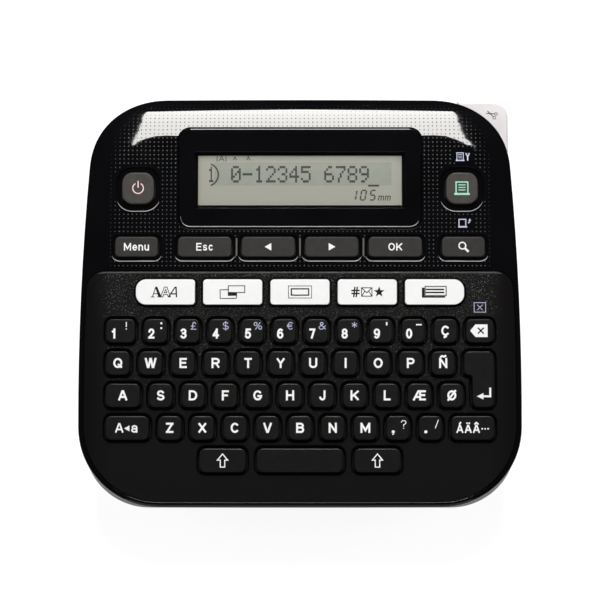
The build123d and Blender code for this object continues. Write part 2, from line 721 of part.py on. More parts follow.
def boss_web(x, s):
    """A rib below the board that ties a case boss to the side wall."""
    wall = math.copysign(side_x(s, CASE_HALF_WIDTH) - WALL / 2, x)
    half = CASE_BOSS_WEB / 2
    return block(min(x, wall), max(x, wall), s - half, s + half, -RIM_DEPTH, BOARD_BOTTOM_N - SEAT_GAP)


def board_boss_places(front):
    if front:
        s = row_s(ROW_COUNT - 1)
        return [(-BOARD_BOSS_X_FRONT, s), (BOARD_BOSS_X_FRONT, s)]
    return [(-BOARD_BOSS_X_REAR, BOARD_BOSS_S_REAR), (BOARD_BOSS_X_REAR, BOARD_BOSS_S_REAR)]


def front_of(s):
    """All of the face plane in front of a line across it."""
    return Pos(0, s - REACH / 2) * Rectangle(REACH, REACH)


def panel_outline(grow=0.0):
    outline = case_outline(PANEL_INSET - grow)
    outline = outline & front_of(PANEL_TOP_S + grow)
    return fillet(outline.vertices().sort_by(Axis.Y)[-2:], PANEL_CORNER + grow)


def lever_plan(grow=0.0):
    """Plan of the cutter lever's corner, in the face frame."""
    left = LEVER_LEFT_X - grow
    right = LEVER_RIGHT_X + grow
    front = LEVER_FRONT_S - grow
    rear = LEVER_REAR_S + grow
    step_x = LEVER_STEP_X - grow
    step_s = LEVER_STEP_S - grow
    corners = [(left, rear), (left, step_s), (step_x, step_s), (step_x, front), (right, front), (right, rear)]
    outline = make_face(Polyline(*corners, close=True))
    return fillet(outline.vertices().sort_by(Axis.X)[-2:].sort_by(Axis.Y)[-1:], LEVER_CORNER)


def lever_notch():
    """Room for the lever's corner and for its press."""
    bottom = LEVER_TOP_N - LEVER_THICKNESS - LEVER_DROP
    return slab(lever_plan(LEVER_GAP), bottom, LEVER_TOP_N + LEVER_TOP_GAP)


def bezel_outline(grow=0.0):
    return Pos(0, BEZEL_S) * RectangleRounded(
        BEZEL_WIDTH + 2 * grow, BEZEL_LENGTH + 2 * grow, BEZEL_RADIUS + grow
    )


def outer_rim(shell):
    """Edges round the top face, without the line across it where the rear roll starts."""
    rim = []
    for edge in shell.edges():
        middle = edge.center()
        roll_line = abs(middle.X) < OVERCUT and abs(middle.Y - ROLL_START_S) < OVERCUT
        if middle.Z > -RIM_DEPTH / 2 and not roll_line:
            rim.append(edge)
    return rim


def near(point, x, s, half_width, half_length):
    return abs(point.X - x) < half_width + COVER_GAP and abs(point.Y - s) < half_length + COVER_GAP


def panel_opening(case):
    """The edge round the panel in the flat top face."""
    flats = case.faces().filter_by(Axis.Z).filter_by(lambda face: abs(face.center().Z) < RUN_GAP)
    top_face = flats.sort_by(SortBy.AREA)[-1]
    return top_face.inner_wires().sort_by(SortBy.LENGTH)[-1]


def opening_edges(case):
    """Top edges of the wells round the fascia keys and buttons, and of the display's opening."""
    nav_reach = NAV_END_X + NAV_END_WIDTH / 2 + NAV_WELL_MARGIN
    nav_half = NAV_HEIGHT / 2 + NAV_WELL_MARGIN
    button_half = BUTTON_SIZE / 2 + BUTTON_WELL_MARGIN
    edges = []
    for edge in case.edges():
        middle = edge.center()
        in_nav = near(middle, 0, NAV_S, nav_reach, nav_half)
        in_button = near(middle, math.copysign(BUTTON_X, middle.X), BUTTON_S, button_half, button_half)
        in_display = near(middle, 0, BEZEL_S, BEZEL_WIDTH / 2, BEZEL_LENGTH / 2)
        flat = abs(middle.Z) < RUN_GAP
        if flat and (in_nav or in_button) or in_display and middle.Z > -SKIN / 2:
            edges.append(edge)
    return edges


def upper_case():
    shell = extrude(case_outline(), amount=-RIM_DEPTH) & roll_envelope(0)
    shell = fillet(outer_rim(shell), TOP_FILLET)
    cavity = extrude(case_outline(WALL), amount=-RIM_DEPTH) & roll_envelope(SKIN)
    shell = shell - cavity
    for x, s in case_screw_places():
        boss = rod(x, s, CASE_BOSS_RADIUS, -RIM_DEPTH, CASE_BOSS_TOP_N)
        hole = rod(x, s, CASE_SCREW_RADIUS + SMALL_SCREW_GAP, -RIM_DEPTH, CASE_BOSS_TOP_N - OVERCUT)
        shell = shell + boss + boss_web(x, s) - hole
    for x, s in board_boss_places(front=False):
        boss = rod(x, s, BOARD_BOSS_RADIUS, BOARD_TOP_N, -SKIN)
        hole = rod(x, s, SMALL_SCREW_RADIUS + SMALL_SCREW_GAP, BOARD_TOP_N, -SKIN)
        shell = shell + boss - hole
    cuts = [
        slab(panel_outline(FIT_GAP), PANEL_BOTTOM_N, OVERCUT),
        slab(panel_outline(-PANEL_LEDGE), -SKIN - OVERCUT, PANEL_BOTTOM_N),
        slab(bezel_outline(FIT_GAP), -SKIN * 2, OVERCUT),
        lever_notch(),
    ]
    cuts += apertures(fascia_keys(), FASCIA_CLEARANCE, -SKIN - OVERCUT, OVERCUT)
    cuts += apertures(side_buttons(), FASCIA_CLEARANCE, -SKIN - OVERCUT, OVERCUT)
    cuts += apertures(fascia_keys(), NAV_WELL_MARGIN, -NAV_WELL_DEPTH, OVERCUT)
    cuts += apertures(side_buttons(), BUTTON_WELL_MARGIN, -BUTTON_WELL_DEPTH, OVERCUT)
    shell = shell - cuts
    shell = fillet(opening_edges(shell), OPENING_FILLET)
    return on_face(fillet(panel_opening(shell).edges(), RIM_FILLET))


def keyboard_panel():
    panel = slab(panel_outline(), PANEL_BOTTOM_N, PANEL_PROUD)
    panel = round_top(panel, PANEL_FILLET)
    for x, s in board_boss_places(front=True):
        boss = rod(x, s, BOARD_BOSS_RADIUS, BOARD_TOP_N, PANEL_BOTTOM_N)
        hole = rod(x, s, SMALL_SCREW_RADIUS + SMALL_SCREW_GAP, BOARD_TOP_N, PANEL_BOTTOM_N)
        panel = panel + boss - hole
    bottom = PANEL_BOTTOM_N - OVERCUT
    top = PANEL_PROUD + OVERCUT
    cuts = apertures(split_keys(function=False), KEY_CLEARANCE, bottom, top)
    cuts += apertures(split_keys(function=True), FUNCTION_CLEARANCE, bottom, top)
    return on_face(panel - cuts)


def lower_body(inset, bottom_z):
    """The lower case's outer form, or its hollow when inset by the wall."""
    top = FACE.offset(-RIM_DEPTH).location * lower_outline(inset)
    base = Pos(0, 0, bottom_z) * base_outline(inset)
    return loft([top, base], ruled=True)


def foot_places():
    front_x = BASE_HALF_WIDTH - FOOT_FRONT_SIDE_INSET
    rear_x = BASE_HALF_WIDTH - FOOT_REAR_SIDE_INSET
    front_y = BASE_FRONT_Y + FOOT_FRONT_INSET
    rear_y = BASE_REAR_Y - FOOT_REAR_INSET
    return [(-front_x, front_y), (front_x, front_y), (-rear_x, rear_y), (rear_x, rear_y)]


def frame_boss_places():
    left = CASSETTE_LEFT_X + FRAME_BOSS_LEFT_INSET
    right = TAPE_X + FRAME_BOSS_PAST_TAPE
    front = COVER_FRONT_Y - FRAME_BOSS_OFFSET
    rear = COVER_REAR_Y + FRAME_BOSS_OFFSET
    return [(left, front), (left, rear), (right, front), (right, rear)]


def battery_bay(outer):
    """An inverted tub over the batteries, standing on the floor round the opening."""
    front = COVER_FRONT_Y - BAY_WALL
    rear = COVER_REAR_Y + BAY_WALL
    bottom = FLOOR_TOP_Z - OVERCUT
    tub = block(-REACH, BAY_RIGHT_X + BAY_WALL, front, rear, bottom, BAY_TOP_Z + BAY_ROOF)
    return tub & outer


def bay_room():
    return block(BAY_LEFT_X, BAY_RIGHT_X, COVER_FRONT_Y, COVER_REAR_Y, 0, BAY_TOP_Z)


def cover_outline(grow):
    return Pos(0, COVER_Y) * RectangleRounded(
        COVER_WIDTH + 2 * grow, COVER_LENGTH + 2 * grow, COVER_RADIUS + grow
    )


def inlet_face_y():
    """Where the rear wall stands at the height of the inlet."""
    rim_s = CASE_REAR_S - LOWER_INSET
    top_y = RIM_Y + rim_s * math.cos(TILT)
    top_z = FACE_CENTRE_Z + rim_s * math.sin(TILT) - RIM_DEPTH * math.cos(TILT)
    share = (INLET_Z - CASE_BOTTOM_Z) / (top_z - CASE_BOTTOM_Z)
    return BASE_REAR_Y + (top_y - BASE_REAR_Y) * share


def lower_case():
    outer = lower_body(0, CASE_BOTTOM_Z)
    outer = fillet(outer.faces().sort_by(Axis.Z)[0].edges(), BASE_FILLET)
    shell = outer - lower_body(WALL, FLOOR_TOP_Z)
    depth = 2 * FACE_CENTRE_Z
    seat_n = -RIM_DEPTH - CASE_SCREW_SEAT
    pillars = []
    bores = []
    for x, s in case_screw_places():
        pillars.append(on_face(rod(x, s, CASE_PILLAR_RADIUS, -depth, -RIM_DEPTH)) & outer)
        bores.append(on_face(rod(x, s, CASE_COUNTERBORE_RADIUS, -depth, seat_n)))
        bores.append(on_face(rod(x, s, CASE_SCREW_RADIUS + FIT_GAP, seat_n - OVERCUT, 0)))
    shell = shell + pillars + battery_bay(outer)
    shell = shell - bay_room()
    for x, y in frame_boss_places():
        boss = rod(x, y, FRAME_BOSS_RADIUS, FLOOR_TOP_Z - ROOT, FRAME_Z)
        hole_bottom = FRAME_Z - FRAME_SCREW_LENGTH - OVERCUT
        hole = rod(x, y, SMALL_SCREW_RADIUS + SMALL_SCREW_GAP, hole_bottom, FRAME_Z)
        shell = shell + boss - hole
    cuts = bores + [slab(cover_outline(COVER_GAP), 0, FLOOR_TOP_Z + RUN_GAP), on_face(lever_notch())]
    for x, y in foot_places():
        cuts.append(rod(x, y, FOOT_RADIUS + FIT_GAP, 0, CASE_BOTTOM_Z + FOOT_SINK))
    half_slot = TAPE_SLOT / 2
    slot_front = COVER_REAR_Y + TAPE_SLOT_START
    slot_top = CASSETTE_TOP_Z + TAPE_MARGIN
    cuts.append(block(TAPE_X - half_slot, TAPE_X + half_slot, slot_front, REACH, FLOOR_TOP_Z, slot_top))
    inlet = cross_disc(INLET_X, BASE_REAR_Y + OVERCUT, INLET_Z, INLET_BARREL_RADIUS + FIT_GAP)
    cuts.append(extrude(inlet, amount=INLET_DEPTH))
    return shell - cuts


def compartment_cover():
    plate = slab(cover_outline(0), CASE_BOTTOM_Z, COVER_TOP_Z)
    pull_y = COVER_REAR_Y - COVER_PULL_LENGTH
    pull = Pos(0, pull_y) * RectangleRounded(COVER_PULL_WIDTH, COVER_PULL_LENGTH, COVER_PULL_RADIUS)
    return plate - slab(pull, CASE_BOTTOM_Z - OVERCUT, CASE_BOTTOM_Z + COVER_PULL_DEPTH)


def rubber_feet():
    feet = []
    for x, y in foot_places():
        foot = rod(x, y, FOOT_RADIUS, 0, CASE_BOTTOM_Z + FOOT_SINK)
        feet.append(fillet(foot.faces().sort_by(Axis.Z)[0].edges(), FOOT_FILLET))
    return feet


def case_screws():
    screws = []
    seat = -RIM_DEPTH - CASE_SCREW_SEAT
    for x, s in case_screw_places():
        head = rod(x, s, CASE_HEAD_RADIUS, seat - CASE_HEAD_HEIGHT, seat)
        shank = rod(x, s, CASE_SCREW_RADIUS, seat, -RIM_DEPTH + CASE_SCREW_BITE)
        screws.append(on_face(head + shank))
    return screws


# Display


def window_outline(grow=0.0):
    return Pos(0, WINDOW_S) * Rectangle(WINDOW_WIDTH + 2 * grow, WINDOW_LENGTH + 2 * grow)


def display_bezel():
    bottom = -SKIN - BEZEL_TAB_THICKNESS
    bezel = round_top(slab(bezel_outline(), bottom, BEZEL_PROUD), BEZEL_FILLET)
    tab_x = BEZEL_WIDTH / 2 + BEZEL_TAB / 2
    for side in (-1, 1):
        tab = Pos(side * tab_x, WINDOW_S) * Rectangle(BEZEL_TAB, BEZEL_TAB_LENGTH)
        bezel = bezel + slab(tab, bottom, -SKIN)
    pocket = window_outline(LENS_LEDGE + FIT_GAP)
    bezel = bezel - slab(window_outline(), bottom, LENS_BOTTOM_N)
    bezel = bezel - slab(pocket, LENS_BOTTOM_N, BEZEL_PROUD + OVERCUT)
    top_face = bezel.faces().sort_by(Axis.Z)[-1]
    return on_face(fillet(top_face.inner_wires()[0].edges(), WINDOW_FILLET))


def display_lens():
    return on_face(slab(window_outline(LENS_LEDGE), LENS_BOTTOM_N, LENS_TOP_N))


def lcd_module():
    base_top = -SKIN - BEZEL_TAB_THICKNESS
    base = slab(window_outline(LCD_MARGIN), BOARD_TOP_N, base_top)
    return on_face(base + slab(window_outline(-FIT_GAP), base_top, LENS_BOTTOM_N - GLASS_GAP))


# Board


def boss_clearances(bottom, top, radius, places):
    return [rod(x, s, radius, bottom, top) for x, s in places]


def keypad_sheet():
    outline = case_outline(SHEET_INSET) & front_of(BEZEL_FRONT_S - FIT_GAP)
    ear_s = BUTTON_S + (SHEET_EAR_REAR - SHEET_EAR_FRONT) / 2
    for side in (-1, 1):
        ear = Rectangle(SHEET_EAR_WIDTH, SHEET_EAR_REAR + SHEET_EAR_FRONT)
        outline = outline + Pos(side * BUTTON_X, ear_s) * ear
    sheet = slab(outline, BOARD_TOP_N, SHEET_TOP_N)
    bosses = board_boss_places(True) + board_boss_places(False)
    holes = boss_clearances(BOARD_TOP_N, SHEET_TOP_N, BOARD_BOSS_RADIUS + COVER_GAP, bosses)
    holes += boss_clearances(BOARD_TOP_N, SHEET_TOP_N, CASE_BOSS_RADIUS + COVER_GAP, case_screw_places())
    return on_face(sheet - holes)


def main_board():
    board = slab(case_outline(BOARD_INSET) & front_of(BOARD_REAR_S), BOARD_BOTTOM_N, BOARD_TOP_N)
    bosses = board_boss_places(True) + board_boss_places(False)
    holes = boss_clearances(BOARD_BOTTOM_N, BOARD_TOP_N, SMALL_SCREW_RADIUS + FIT_GAP, bosses)
    holes += boss_clearances(BOARD_BOTTOM_N, BOARD_TOP_N, CASE_BOSS_RADIUS + COVER_GAP, case_screw_places())
    return on_face(board - holes)


def board_screws():
    screws = []
    for x, s in board_boss_places(True) + board_boss_places(False):
        head = rod(x, s, SMALL_HEAD_RADIUS, BOARD_BOTTOM_N - SMALL_HEAD_HEIGHT, BOARD_BOTTOM_N)
        shank = rod(x, s, SMALL_SCREW_RADIUS, BOARD_BOTTOM_N, BOARD_TOP_N + SMALL_SCREW_BITE)
        screws.append(on_face(head + shank))
    return screws


# Power


def battery_ys():
    first = COVER_Y - BATTERY_PITCH * (BATTERY_COUNT - 1) / 2
    return [first + BATTERY_PITCH * place for place in range(BATTERY_COUNT)]


def batteries():
    cells = []
    body = BATTERY_LENGTH - BATTERY_NUB_LENGTH
    for place, y in enumerate(battery_ys()):
        side = 1 if place % 2 == 0 else -1
        can = Cylinder(BATTERY_RADIUS, body)
        nub = Pos(0, 0, BATTERY_LENGTH / 2) * Cylinder(BATTERY_NUB_RADIUS, BATTERY_NUB_LENGTH)
        shift = Pos(BAY_X, y, BATTERY_Z) * Rot(0, 90 * side, 0) * Pos(0, 0, -BATTERY_NUB_LENGTH / 2)
        cells.append(shift * (can + nub))
    return cells


def battery_contacts():
    contacts = []
    reach = CONTACT_ROOM - CONTACT_GAP
    for y in battery_ys():
        for side, wall in ((1, BAY_LEFT_X), (-1, BAY_RIGHT_X)):
            plate_x = wall + side * CONTACT_THICKNESS / 2
            plate = Pos(plate_x, y, BATTERY_Z) * Box(CONTACT_THICKNESS, CONTACT_SIZE, CONTACT_SIZE)
            bump = Rot(0, 90, 0) * Cylinder(BATTERY_NUB_RADIUS, reach)
            bump = Pos(wall + side * reach / 2, y, BATTERY_Z) * bump
            contacts.append(plate + bump)
    return contacts


def power_inlet():
    face = inlet_face_y() - INLET_INSET
    body_front = face - INLET_DEPTH - WALL
    body = block(
        INLET_X - INLET_WIDTH / 2,
        INLET_X + INLET_WIDTH / 2,
        body_front,
        face - INLET_BARREL_LENGTH,
        INLET_Z - INLET_HEIGHT / 2,
        INLET_Z + INLET_HEIGHT / 2,
    )
    bore_depth = INLET_DEPTH - INLET_PIN_SINK
    barrel = extrude(cross_disc(INLET_X, face, INLET_Z, INLET_BARREL_RADIUS), amount=INLET_DEPTH)
    bore = extrude(cross_disc(INLET_X, face, INLET_Z, INLET_BORE_RADIUS), amount=bore_depth)
    pin = extrude(cross_disc(INLET_X, face - INLET_PIN_SINK, INLET_Z, INLET_PIN_RADIUS), amount=bore_depth)
    return body + barrel - bore + pin


# Mechanism


def through_frame(x, y, radius):
    """A round cut through the frame's plate."""
    return rod(x, y, radius, FRAME_Z - OVERCUT, FRAME_TOP_Z + OVERCUT)


def cutter_bracket():
    half = CUTTER_BRACKET_WIDTH / 2
    top = CUTTER_PIVOT_Z + CUTTER_PIN_RADIUS + CUTTER_BRACKET_RISE
    left = CUTTER_PIVOT_X - half
    bracket = block(left, left + CUTTER_BRACKET_WIDTH, BRACKET_Y, FRAME_REAR_Y, FRAME_Z, top)
    hole = cross_disc(CUTTER_PIVOT_X, FRAME_REAR_Y, CUTTER_PIVOT_Z, CUTTER_PIN_RADIUS + RUN_GAP / 2)
    return bracket - extrude(hole, amount=CUTTER_BRACKET_THICKNESS)


def mechanism_frame():
    frame = block(FRAME_LEFT_X, FRAME_RIGHT_X, FRAME_FRONT_Y, FRAME_REAR_Y, FRAME_Z, FRAME_TOP_Z)
    tab = FRAME_BOSS_RADIUS + FRAME_TAB_MARGIN
    for x, y in frame_boss_places():
        if y > COVER_Y:
            frame = frame + block(x - tab, x + tab, FRAME_REAR_Y - ROOT, y + tab, FRAME_Z, FRAME_TOP_Z)
    post = rod(IDLER_X, IDLER_Y, IDLER_POST_RADIUS - RUN_GAP, FRAME_TOP_Z, GEAR_TOP_Z + ROOT)
    frame = frame + cutter_bracket() + post + motor_bracket()
    cuts = [through_frame(x, y, SMALL_SCREW_RADIUS + FIT_GAP) for x, y in frame_boss_places()]
    cuts.append(through_frame(RIBBON_X, RIBBON_Y, SPINDLE_RADIUS + RUN_GAP))
    cuts.append(through_frame(HOLDER_PIVOT_X, HOLDER_PIVOT_Y, HOLDER_PIN_RADIUS + RUN_GAP / 2))
    for step in range(SWING_STEPS + 1):
        x, y = swung_platen(HOLDER_SWING * step / SWING_STEPS)
        cuts.append(through_frame(x, y, PLATEN_SHAFT_RADIUS + PLATEN_SLOT_GAP))
    return frame - cuts


def swung_platen(angle):
    """Where the platen's axis stands when the holder has swung clear by an angle."""
    turn = math.radians(-angle)
    dx = PLATEN_X - HOLDER_PIVOT_X
    dy = PLATEN_Y - HOLDER_PIVOT_Y
    x = HOLDER_PIVOT_X + dx * math.cos(turn) - dy * math.sin(turn)
    y = HOLDER_PIVOT_Y + dx * math.sin(turn) + dy * math.cos(turn)
    return (x, y)


def motor_bracket():
    """A small table on three posts that carries the motor over its pinion."""
    right = PINION_X + MOTOR_PLATE_RIGHT
    left = right - MOTOR_PLATE
    rear = PINION_Y + MOTOR_PLATE_REAR
    front = rear - MOTOR_PLATE
    table = block(left, right, front, rear, MOTOR_BRACKET_Z, MOTOR_Z)
    post = MOTOR_POST / 2
    for x, y in ((left + post, front + post), (left + post, rear - post), (right - post, front + post)):
        table = table + block(x - post, x + post, y - post, y + post, FRAME_TOP_Z - ROOT, MOTOR_Z)
    return table - rod(PINION_X, PINION_Y, MOTOR_SHAFT_HOLE, MOTOR_BRACKET_Z - OVERCUT, MOTOR_Z + OVERCUT)


def mechanism_screws():
    screws = []
    for x, y in frame_boss_places():
        head = rod(x, y, SMALL_HEAD_RADIUS, FRAME_TOP_Z, FRAME_TOP_Z + SMALL_HEAD_HEIGHT)
        screws.append(head + rod(x, y, SMALL_SCREW_RADIUS, FRAME_Z - FRAME_SCREW_LENGTH, FRAME_TOP_Z))
    return screws


def gear(teeth, phase, bore):
    """A flat spur gear on the origin with a tooth pointing at the phase angle."""
    pitch_radius = GEAR_MODULE * teeth / 2
    pitch = math.pi * GEAR_MODULE
    root = pitch_radius - TOOTH_ROOT * GEAR_MODULE
    tip = pitch_radius + TOOTH_TIP * GEAR_MODULE
    corners = [
        (root - TOOTH_SINK, -TOOTH_ROOT_HALF * pitch),
        (tip, -TOOTH_TIP_HALF * pitch),
        (tip, TOOTH_TIP_HALF * pitch),
        (root - TOOTH_SINK, TOOTH_ROOT_HALF * pitch),
    ]
    tooth = make_face(Polyline(*corners, close=True))
    turns = [phase + 360 * place / teeth for place in range(teeth)]
    outline = Circle(root) + [Rot(0, 0, turn) * tooth for turn in turns]
    if bore > 0:
        outline = outline - Circle(bore)
    return slab(outline, GEAR_Z, GEAR_TOP_Z)


def meshed_phase(angle, teeth):
    """Phase of a gear that meets the idler along an angle: its gap takes the idler's nearest tooth."""
    idler_phase = PLATEN_TO_IDLER_ANGLE + 180
    lead = (idler_phase - angle) % (360 / IDLER_TEETH)
    return angle + 180 + 180 / teeth - lead * IDLER_TEETH / teeth


def idler_gear():
    return Pos(IDLER_X, IDLER_Y) * gear(IDLER_TEETH, PLATEN_TO_IDLER_ANGLE + 180, IDLER_POST_RADIUS)


def platen_gear():
    phase = meshed_phase(PLATEN_TO_IDLER_ANGLE + 180, PLATEN_TEETH)
    return Pos(PLATEN_X, PLATEN_Y) * gear(PLATEN_TEETH, phase, PLATEN_SHAFT_RADIUS)


def motor_pinion():
    """The pinion and the motor shaft that it sits on."""
    phase = meshed_phase(IDLER_TO_PINION_ANGLE, PINION_TEETH)
    wheel = Pos(PINION_X, PINION_Y) * gear(PINION_TEETH, phase, 0)
    return wheel + rod(PINION_X, PINION_Y, MOTOR_SHAFT_RADIUS, GEAR_TOP_Z - ROOT, SHAFT_TOP_Z)


def drive_motor():
    can = rod(PINION_X, PINION_Y, MOTOR_RADIUS, MOTOR_Z, MOTOR_Z + MOTOR_LENGTH)
    can = round_top(can, MOTOR_FILLET)
    return can - rod(PINION_X, PINION_Y, MOTOR_SHAFT_RADIUS + RUN_GAP, MOTOR_Z - OVERCUT, SHAFT_TOP_Z + ROOT)


def ribbon_drive_spindle():
    phase = meshed_phase(IDLER_TO_RIBBON_ANGLE, RIBBON_TEETH)
    wheel = Pos(RIBBON_X, RIBBON_Y) * gear(RIBBON_TEETH, phase, 0)
    bottom = CASSETTE_Z + CASSETTE_WALL + SPINDLE_LIFT
    return wheel + rod(RIBBON_X, RIBBON_Y, SPINDLE_RADIUS, bottom, GEAR_Z + ROOT)


def platen_roller():
    bottom = CASSETTE_Z + TAPE_MARGIN
    rubber = rod(PLATEN_X, PLATEN_Y, PLATEN_RADIUS, bottom, CASSETTE_TOP_Z)
    shaft = rod(PLATEN_X, PLATEN_Y, PLATEN_SHAFT_RADIUS, bottom - TAPE_MARGIN / 2, GEAR_TOP_Z)
    return rubber + shaft


def roller_holder():
    """An arm that hangs the platen from the frame's pin."""
    eye = rod(HOLDER_PIVOT_X, HOLDER_PIVOT_Y, HOLDER_EYE_RADIUS, HOLDER_Z, HOLDER_TOP_Z)
    end = rod(PLATEN_X, PLATEN_Y, HOLDER_END_RADIUS, HOLDER_Z, HOLDER_TOP_Z)
    dx = PLATEN_X - HOLDER_PIVOT_X
    dy = PLATEN_Y - HOLDER_PIVOT_Y
    angle = math.degrees(math.atan2(dy, dx))
    middle = Pos(HOLDER_PIVOT_X + dx / 2, HOLDER_PIVOT_Y + dy / 2)
    bar = middle * Rot(0, 0, angle) * Rectangle(math.hypot(dx, dy), HOLDER_BAR_WIDTH)
    arm = eye + end + slab(bar, HOLDER_Z, HOLDER_TOP_Z)
    low = HOLDER_Z - OVERCUT
    high = HOLDER_TOP_Z + OVERCUT
    arm = arm - rod(HOLDER_PIVOT_X, HOLDER_PIVOT_Y, HOLDER_PIN_RADIUS + RUN_GAP, low, high)
    return arm - rod(PLATEN_X, PLATEN_Y, PLATEN_SHAFT_RADIUS + RUN_GAP, low, high)


def roller_holder_pin():
    """A headed pin: the head under the arm carries it, the top is pressed into the frame."""
    x = HOLDER_PIVOT_X
    y = HOLDER_PIVOT_Y
    head_top = HOLDER_Z - SEAT_GAP
    head = rod(x, y, HOLDER_HEAD_RADIUS, head_top - HOLDER_HEAD_HEIGHT, head_top)
    shank = rod(x, y, HOLDER_PIN_RADIUS, head_top - ROOT, FRAME_TOP_Z)
    collar = rod(x, y, HOLDER_COLLAR_RADIUS, HOLDER_TOP_Z + SEAT_GAP, FRAME_Z)
    return head + shank + collar


def beside_tape(right, thickness, length, top):
    """A plate on the left of the tape, level with the platen."""
    half = length / 2
    return block(right - thickness, right, PLATEN_Y - half, PLATEN_Y + half, CASSETTE_Z + TAPE_MARGIN, top)


def heat_sink():
    right = TAPE_X - TAPE_THICKNESS / 2 - HEAD_GAP - HEAD_THICKNESS
    return beside_tape(right, SINK_THICKNESS, SINK_LENGTH, FRAME_Z)


def print_head():
    right = TAPE_X - TAPE_THICKNESS / 2 - HEAD_GAP
    return beside_tape(right, HEAD_THICKNESS, HEAD_LENGTH, CASSETTE_TOP_Z + TAPE_MARGIN)


# Cassette


def cassette_block(inset, low, high):
    return block(
        CASSETTE_LEFT_X + inset,
        CASSETTE_RIGHT_X - inset,
        CASSETTE_FRONT_Y + inset,
        CASSETTE_REAR_Y - inset,
        low,
        high,
    )


def cassette_case():
    """A hollow case with a notch at its rear right corner, where the tape crosses the print head."""
    wall = CASSETTE_WALL
    low = CASSETTE_Z + wall
    high = CASSETTE_TOP_Z - wall
    notch_x = CASSETTE_RIGHT_X - CASSETTE_NOTCH_X
    notch_y = CASSETTE_REAR_Y - CASSETTE_NOTCH_Y
    body = cassette_block(0, CASSETTE_Z, CASSETTE_TOP_Z)
    keep = block(notch_x - wall, REACH, notch_y - wall, REACH, CASSETTE_Z, CASSETTE_TOP_Z)
    notch = block(notch_x, REACH, notch_y, REACH, CASSETTE_Z, CASSETTE_TOP_Z)
    case = body - (cassette_block(wall, low, high) - keep) - notch
    for x, y in ((TAPE_SPOOL_X, TAPE_SPOOL_Y), (RIBBON_SUPPLY_X, RIBBON_SUPPLY_Y)):
        case = case + rod(x, y, SPOOL_POST_RADIUS, low - ROOT, high + ROOT)
    half_mouth = CASSETTE_MOUTH / 2
    mouth = block(TAPE_X - half_mouth, TAPE_X + half_mouth, notch_y - wall, notch_y, low, high)
    bore = rod(RIBBON_X, RIBBON_Y, SPINDLE_RADIUS + SPINDLE_BORE_GAP, high, CASSETTE_TOP_Z)
    return case - mouth - bore


def spool(x, y, radius, bore):
    low = CASSETTE_Z + CASSETTE_WALL + SPOOL_END_GAP
    high = CASSETTE_TOP_Z - CASSETTE_WALL - SPOOL_END_GAP
    return rod(x, y, radius, low, high) - rod(x, y, bore, low, high)


def tape_spool():
    return spool(TAPE_SPOOL_X, TAPE_SPOOL_Y, TAPE_SPOOL_RADIUS, SPOOL_POST_RADIUS + RUN_GAP)


def ribbon_supply_spool():
    return spool(RIBBON_SUPPLY_X, RIBBON_SUPPLY_Y, RIBBON_SUPPLY_RADIUS, SPOOL_POST_RADIUS + RUN_GAP)


def ribbon_takeup_spool():
    return spool(RIBBON_X, RIBBON_Y, RIBBON_TAKEUP_RADIUS, SPINDLE_RADIUS + RUN_GAP)


def label_tape():
    """The tape's free end, from the cassette past the print head to the cutter."""
    half = TAPE_THICKNESS / 2
    start = CASSETTE_REAR_Y - CASSETTE_NOTCH_Y - CASSETTE_WALL
    low = CASSETTE_Z + CASSETTE_WALL + TAPE_MARGIN
    high = CASSETTE_TOP_Z - CASSETTE_WALL - TAPE_MARGIN
    return block(TAPE_X - half, TAPE_X + half, start, FRAME_REAR_Y, low, high)


# Cutter


def pivot_disc(y, radius):
    """A disc on the cutter's pivot axis."""
    return cross_disc(CUTTER_PIVOT_X, y, CUTTER_PIVOT_Z, radius)


def cutter_lever():
    """The corner that is pressed, the arm to the pivot and the blade's carrier."""
    corner = slab(lever_plan(), LEVER_TOP_N - LEVER_THICKNESS, LEVER_TOP_N)
    corner = on_face(round_top(corner, LEVER_FILLET))
    hub = extrude(pivot_disc(HUB_REAR_Y, CUTTER_HUB_RADIUS), amount=CUTTER_HUB_LENGTH)
    arm_right = CUTTER_PIVOT_X + CUTTER_HUB_RADIUS
    arm = block(CUTTER_PIVOT_X, arm_right, HUB_Y, HUB_REAR_Y, CUTTER_PIVOT_Z, FACE_CENTRE_Z)
    carrier_left = TAPE_X + CUTTER_BLADE_OFFSET + CUTTER_BLADE_SHOW
    carrier_low = CUTTER_PIVOT_Z - CUTTER_CARRIER_DROP
    carrier = block(carrier_left, CUTTER_PIVOT_X, HUB_Y, HUB_REAR_Y, carrier_low, CUTTER_PIVOT_Z)
    bore = extrude(pivot_disc(HUB_REAR_Y, CUTTER_PIN_RADIUS + RUN_GAP), amount=CUTTER_HUB_LENGTH)
    return corner + hub + arm + carrier - bore


def cutter_blade():
    left = TAPE_X + CUTTER_BLADE_OFFSET
    bottom = FLOOR_TOP_Z + CUTTER_BLADE_LIFT
    top = CUTTER_PIVOT_Z - CUTTER_HUB_RADIUS
    return block(left, left + CUTTER_BLADE_WIDTH, BLADE_Y, HUB_Y, bottom, top)


def lever_pivot_pin():
    """A headed pin from the frame's bracket through the lever's hub."""
    end_y = HUB_REAR_Y + CUTTER_PIN_END_GAP + CUTTER_PIN_HEAD
    shank = extrude(pivot_disc(end_y, CUTTER_PIN_RADIUS), amount=end_y - BRACKET_Y)
    head = extrude(pivot_disc(end_y, CUTTER_PIN_HEAD_RADIUS), amount=CUTTER_PIN_HEAD)
    return shank + head


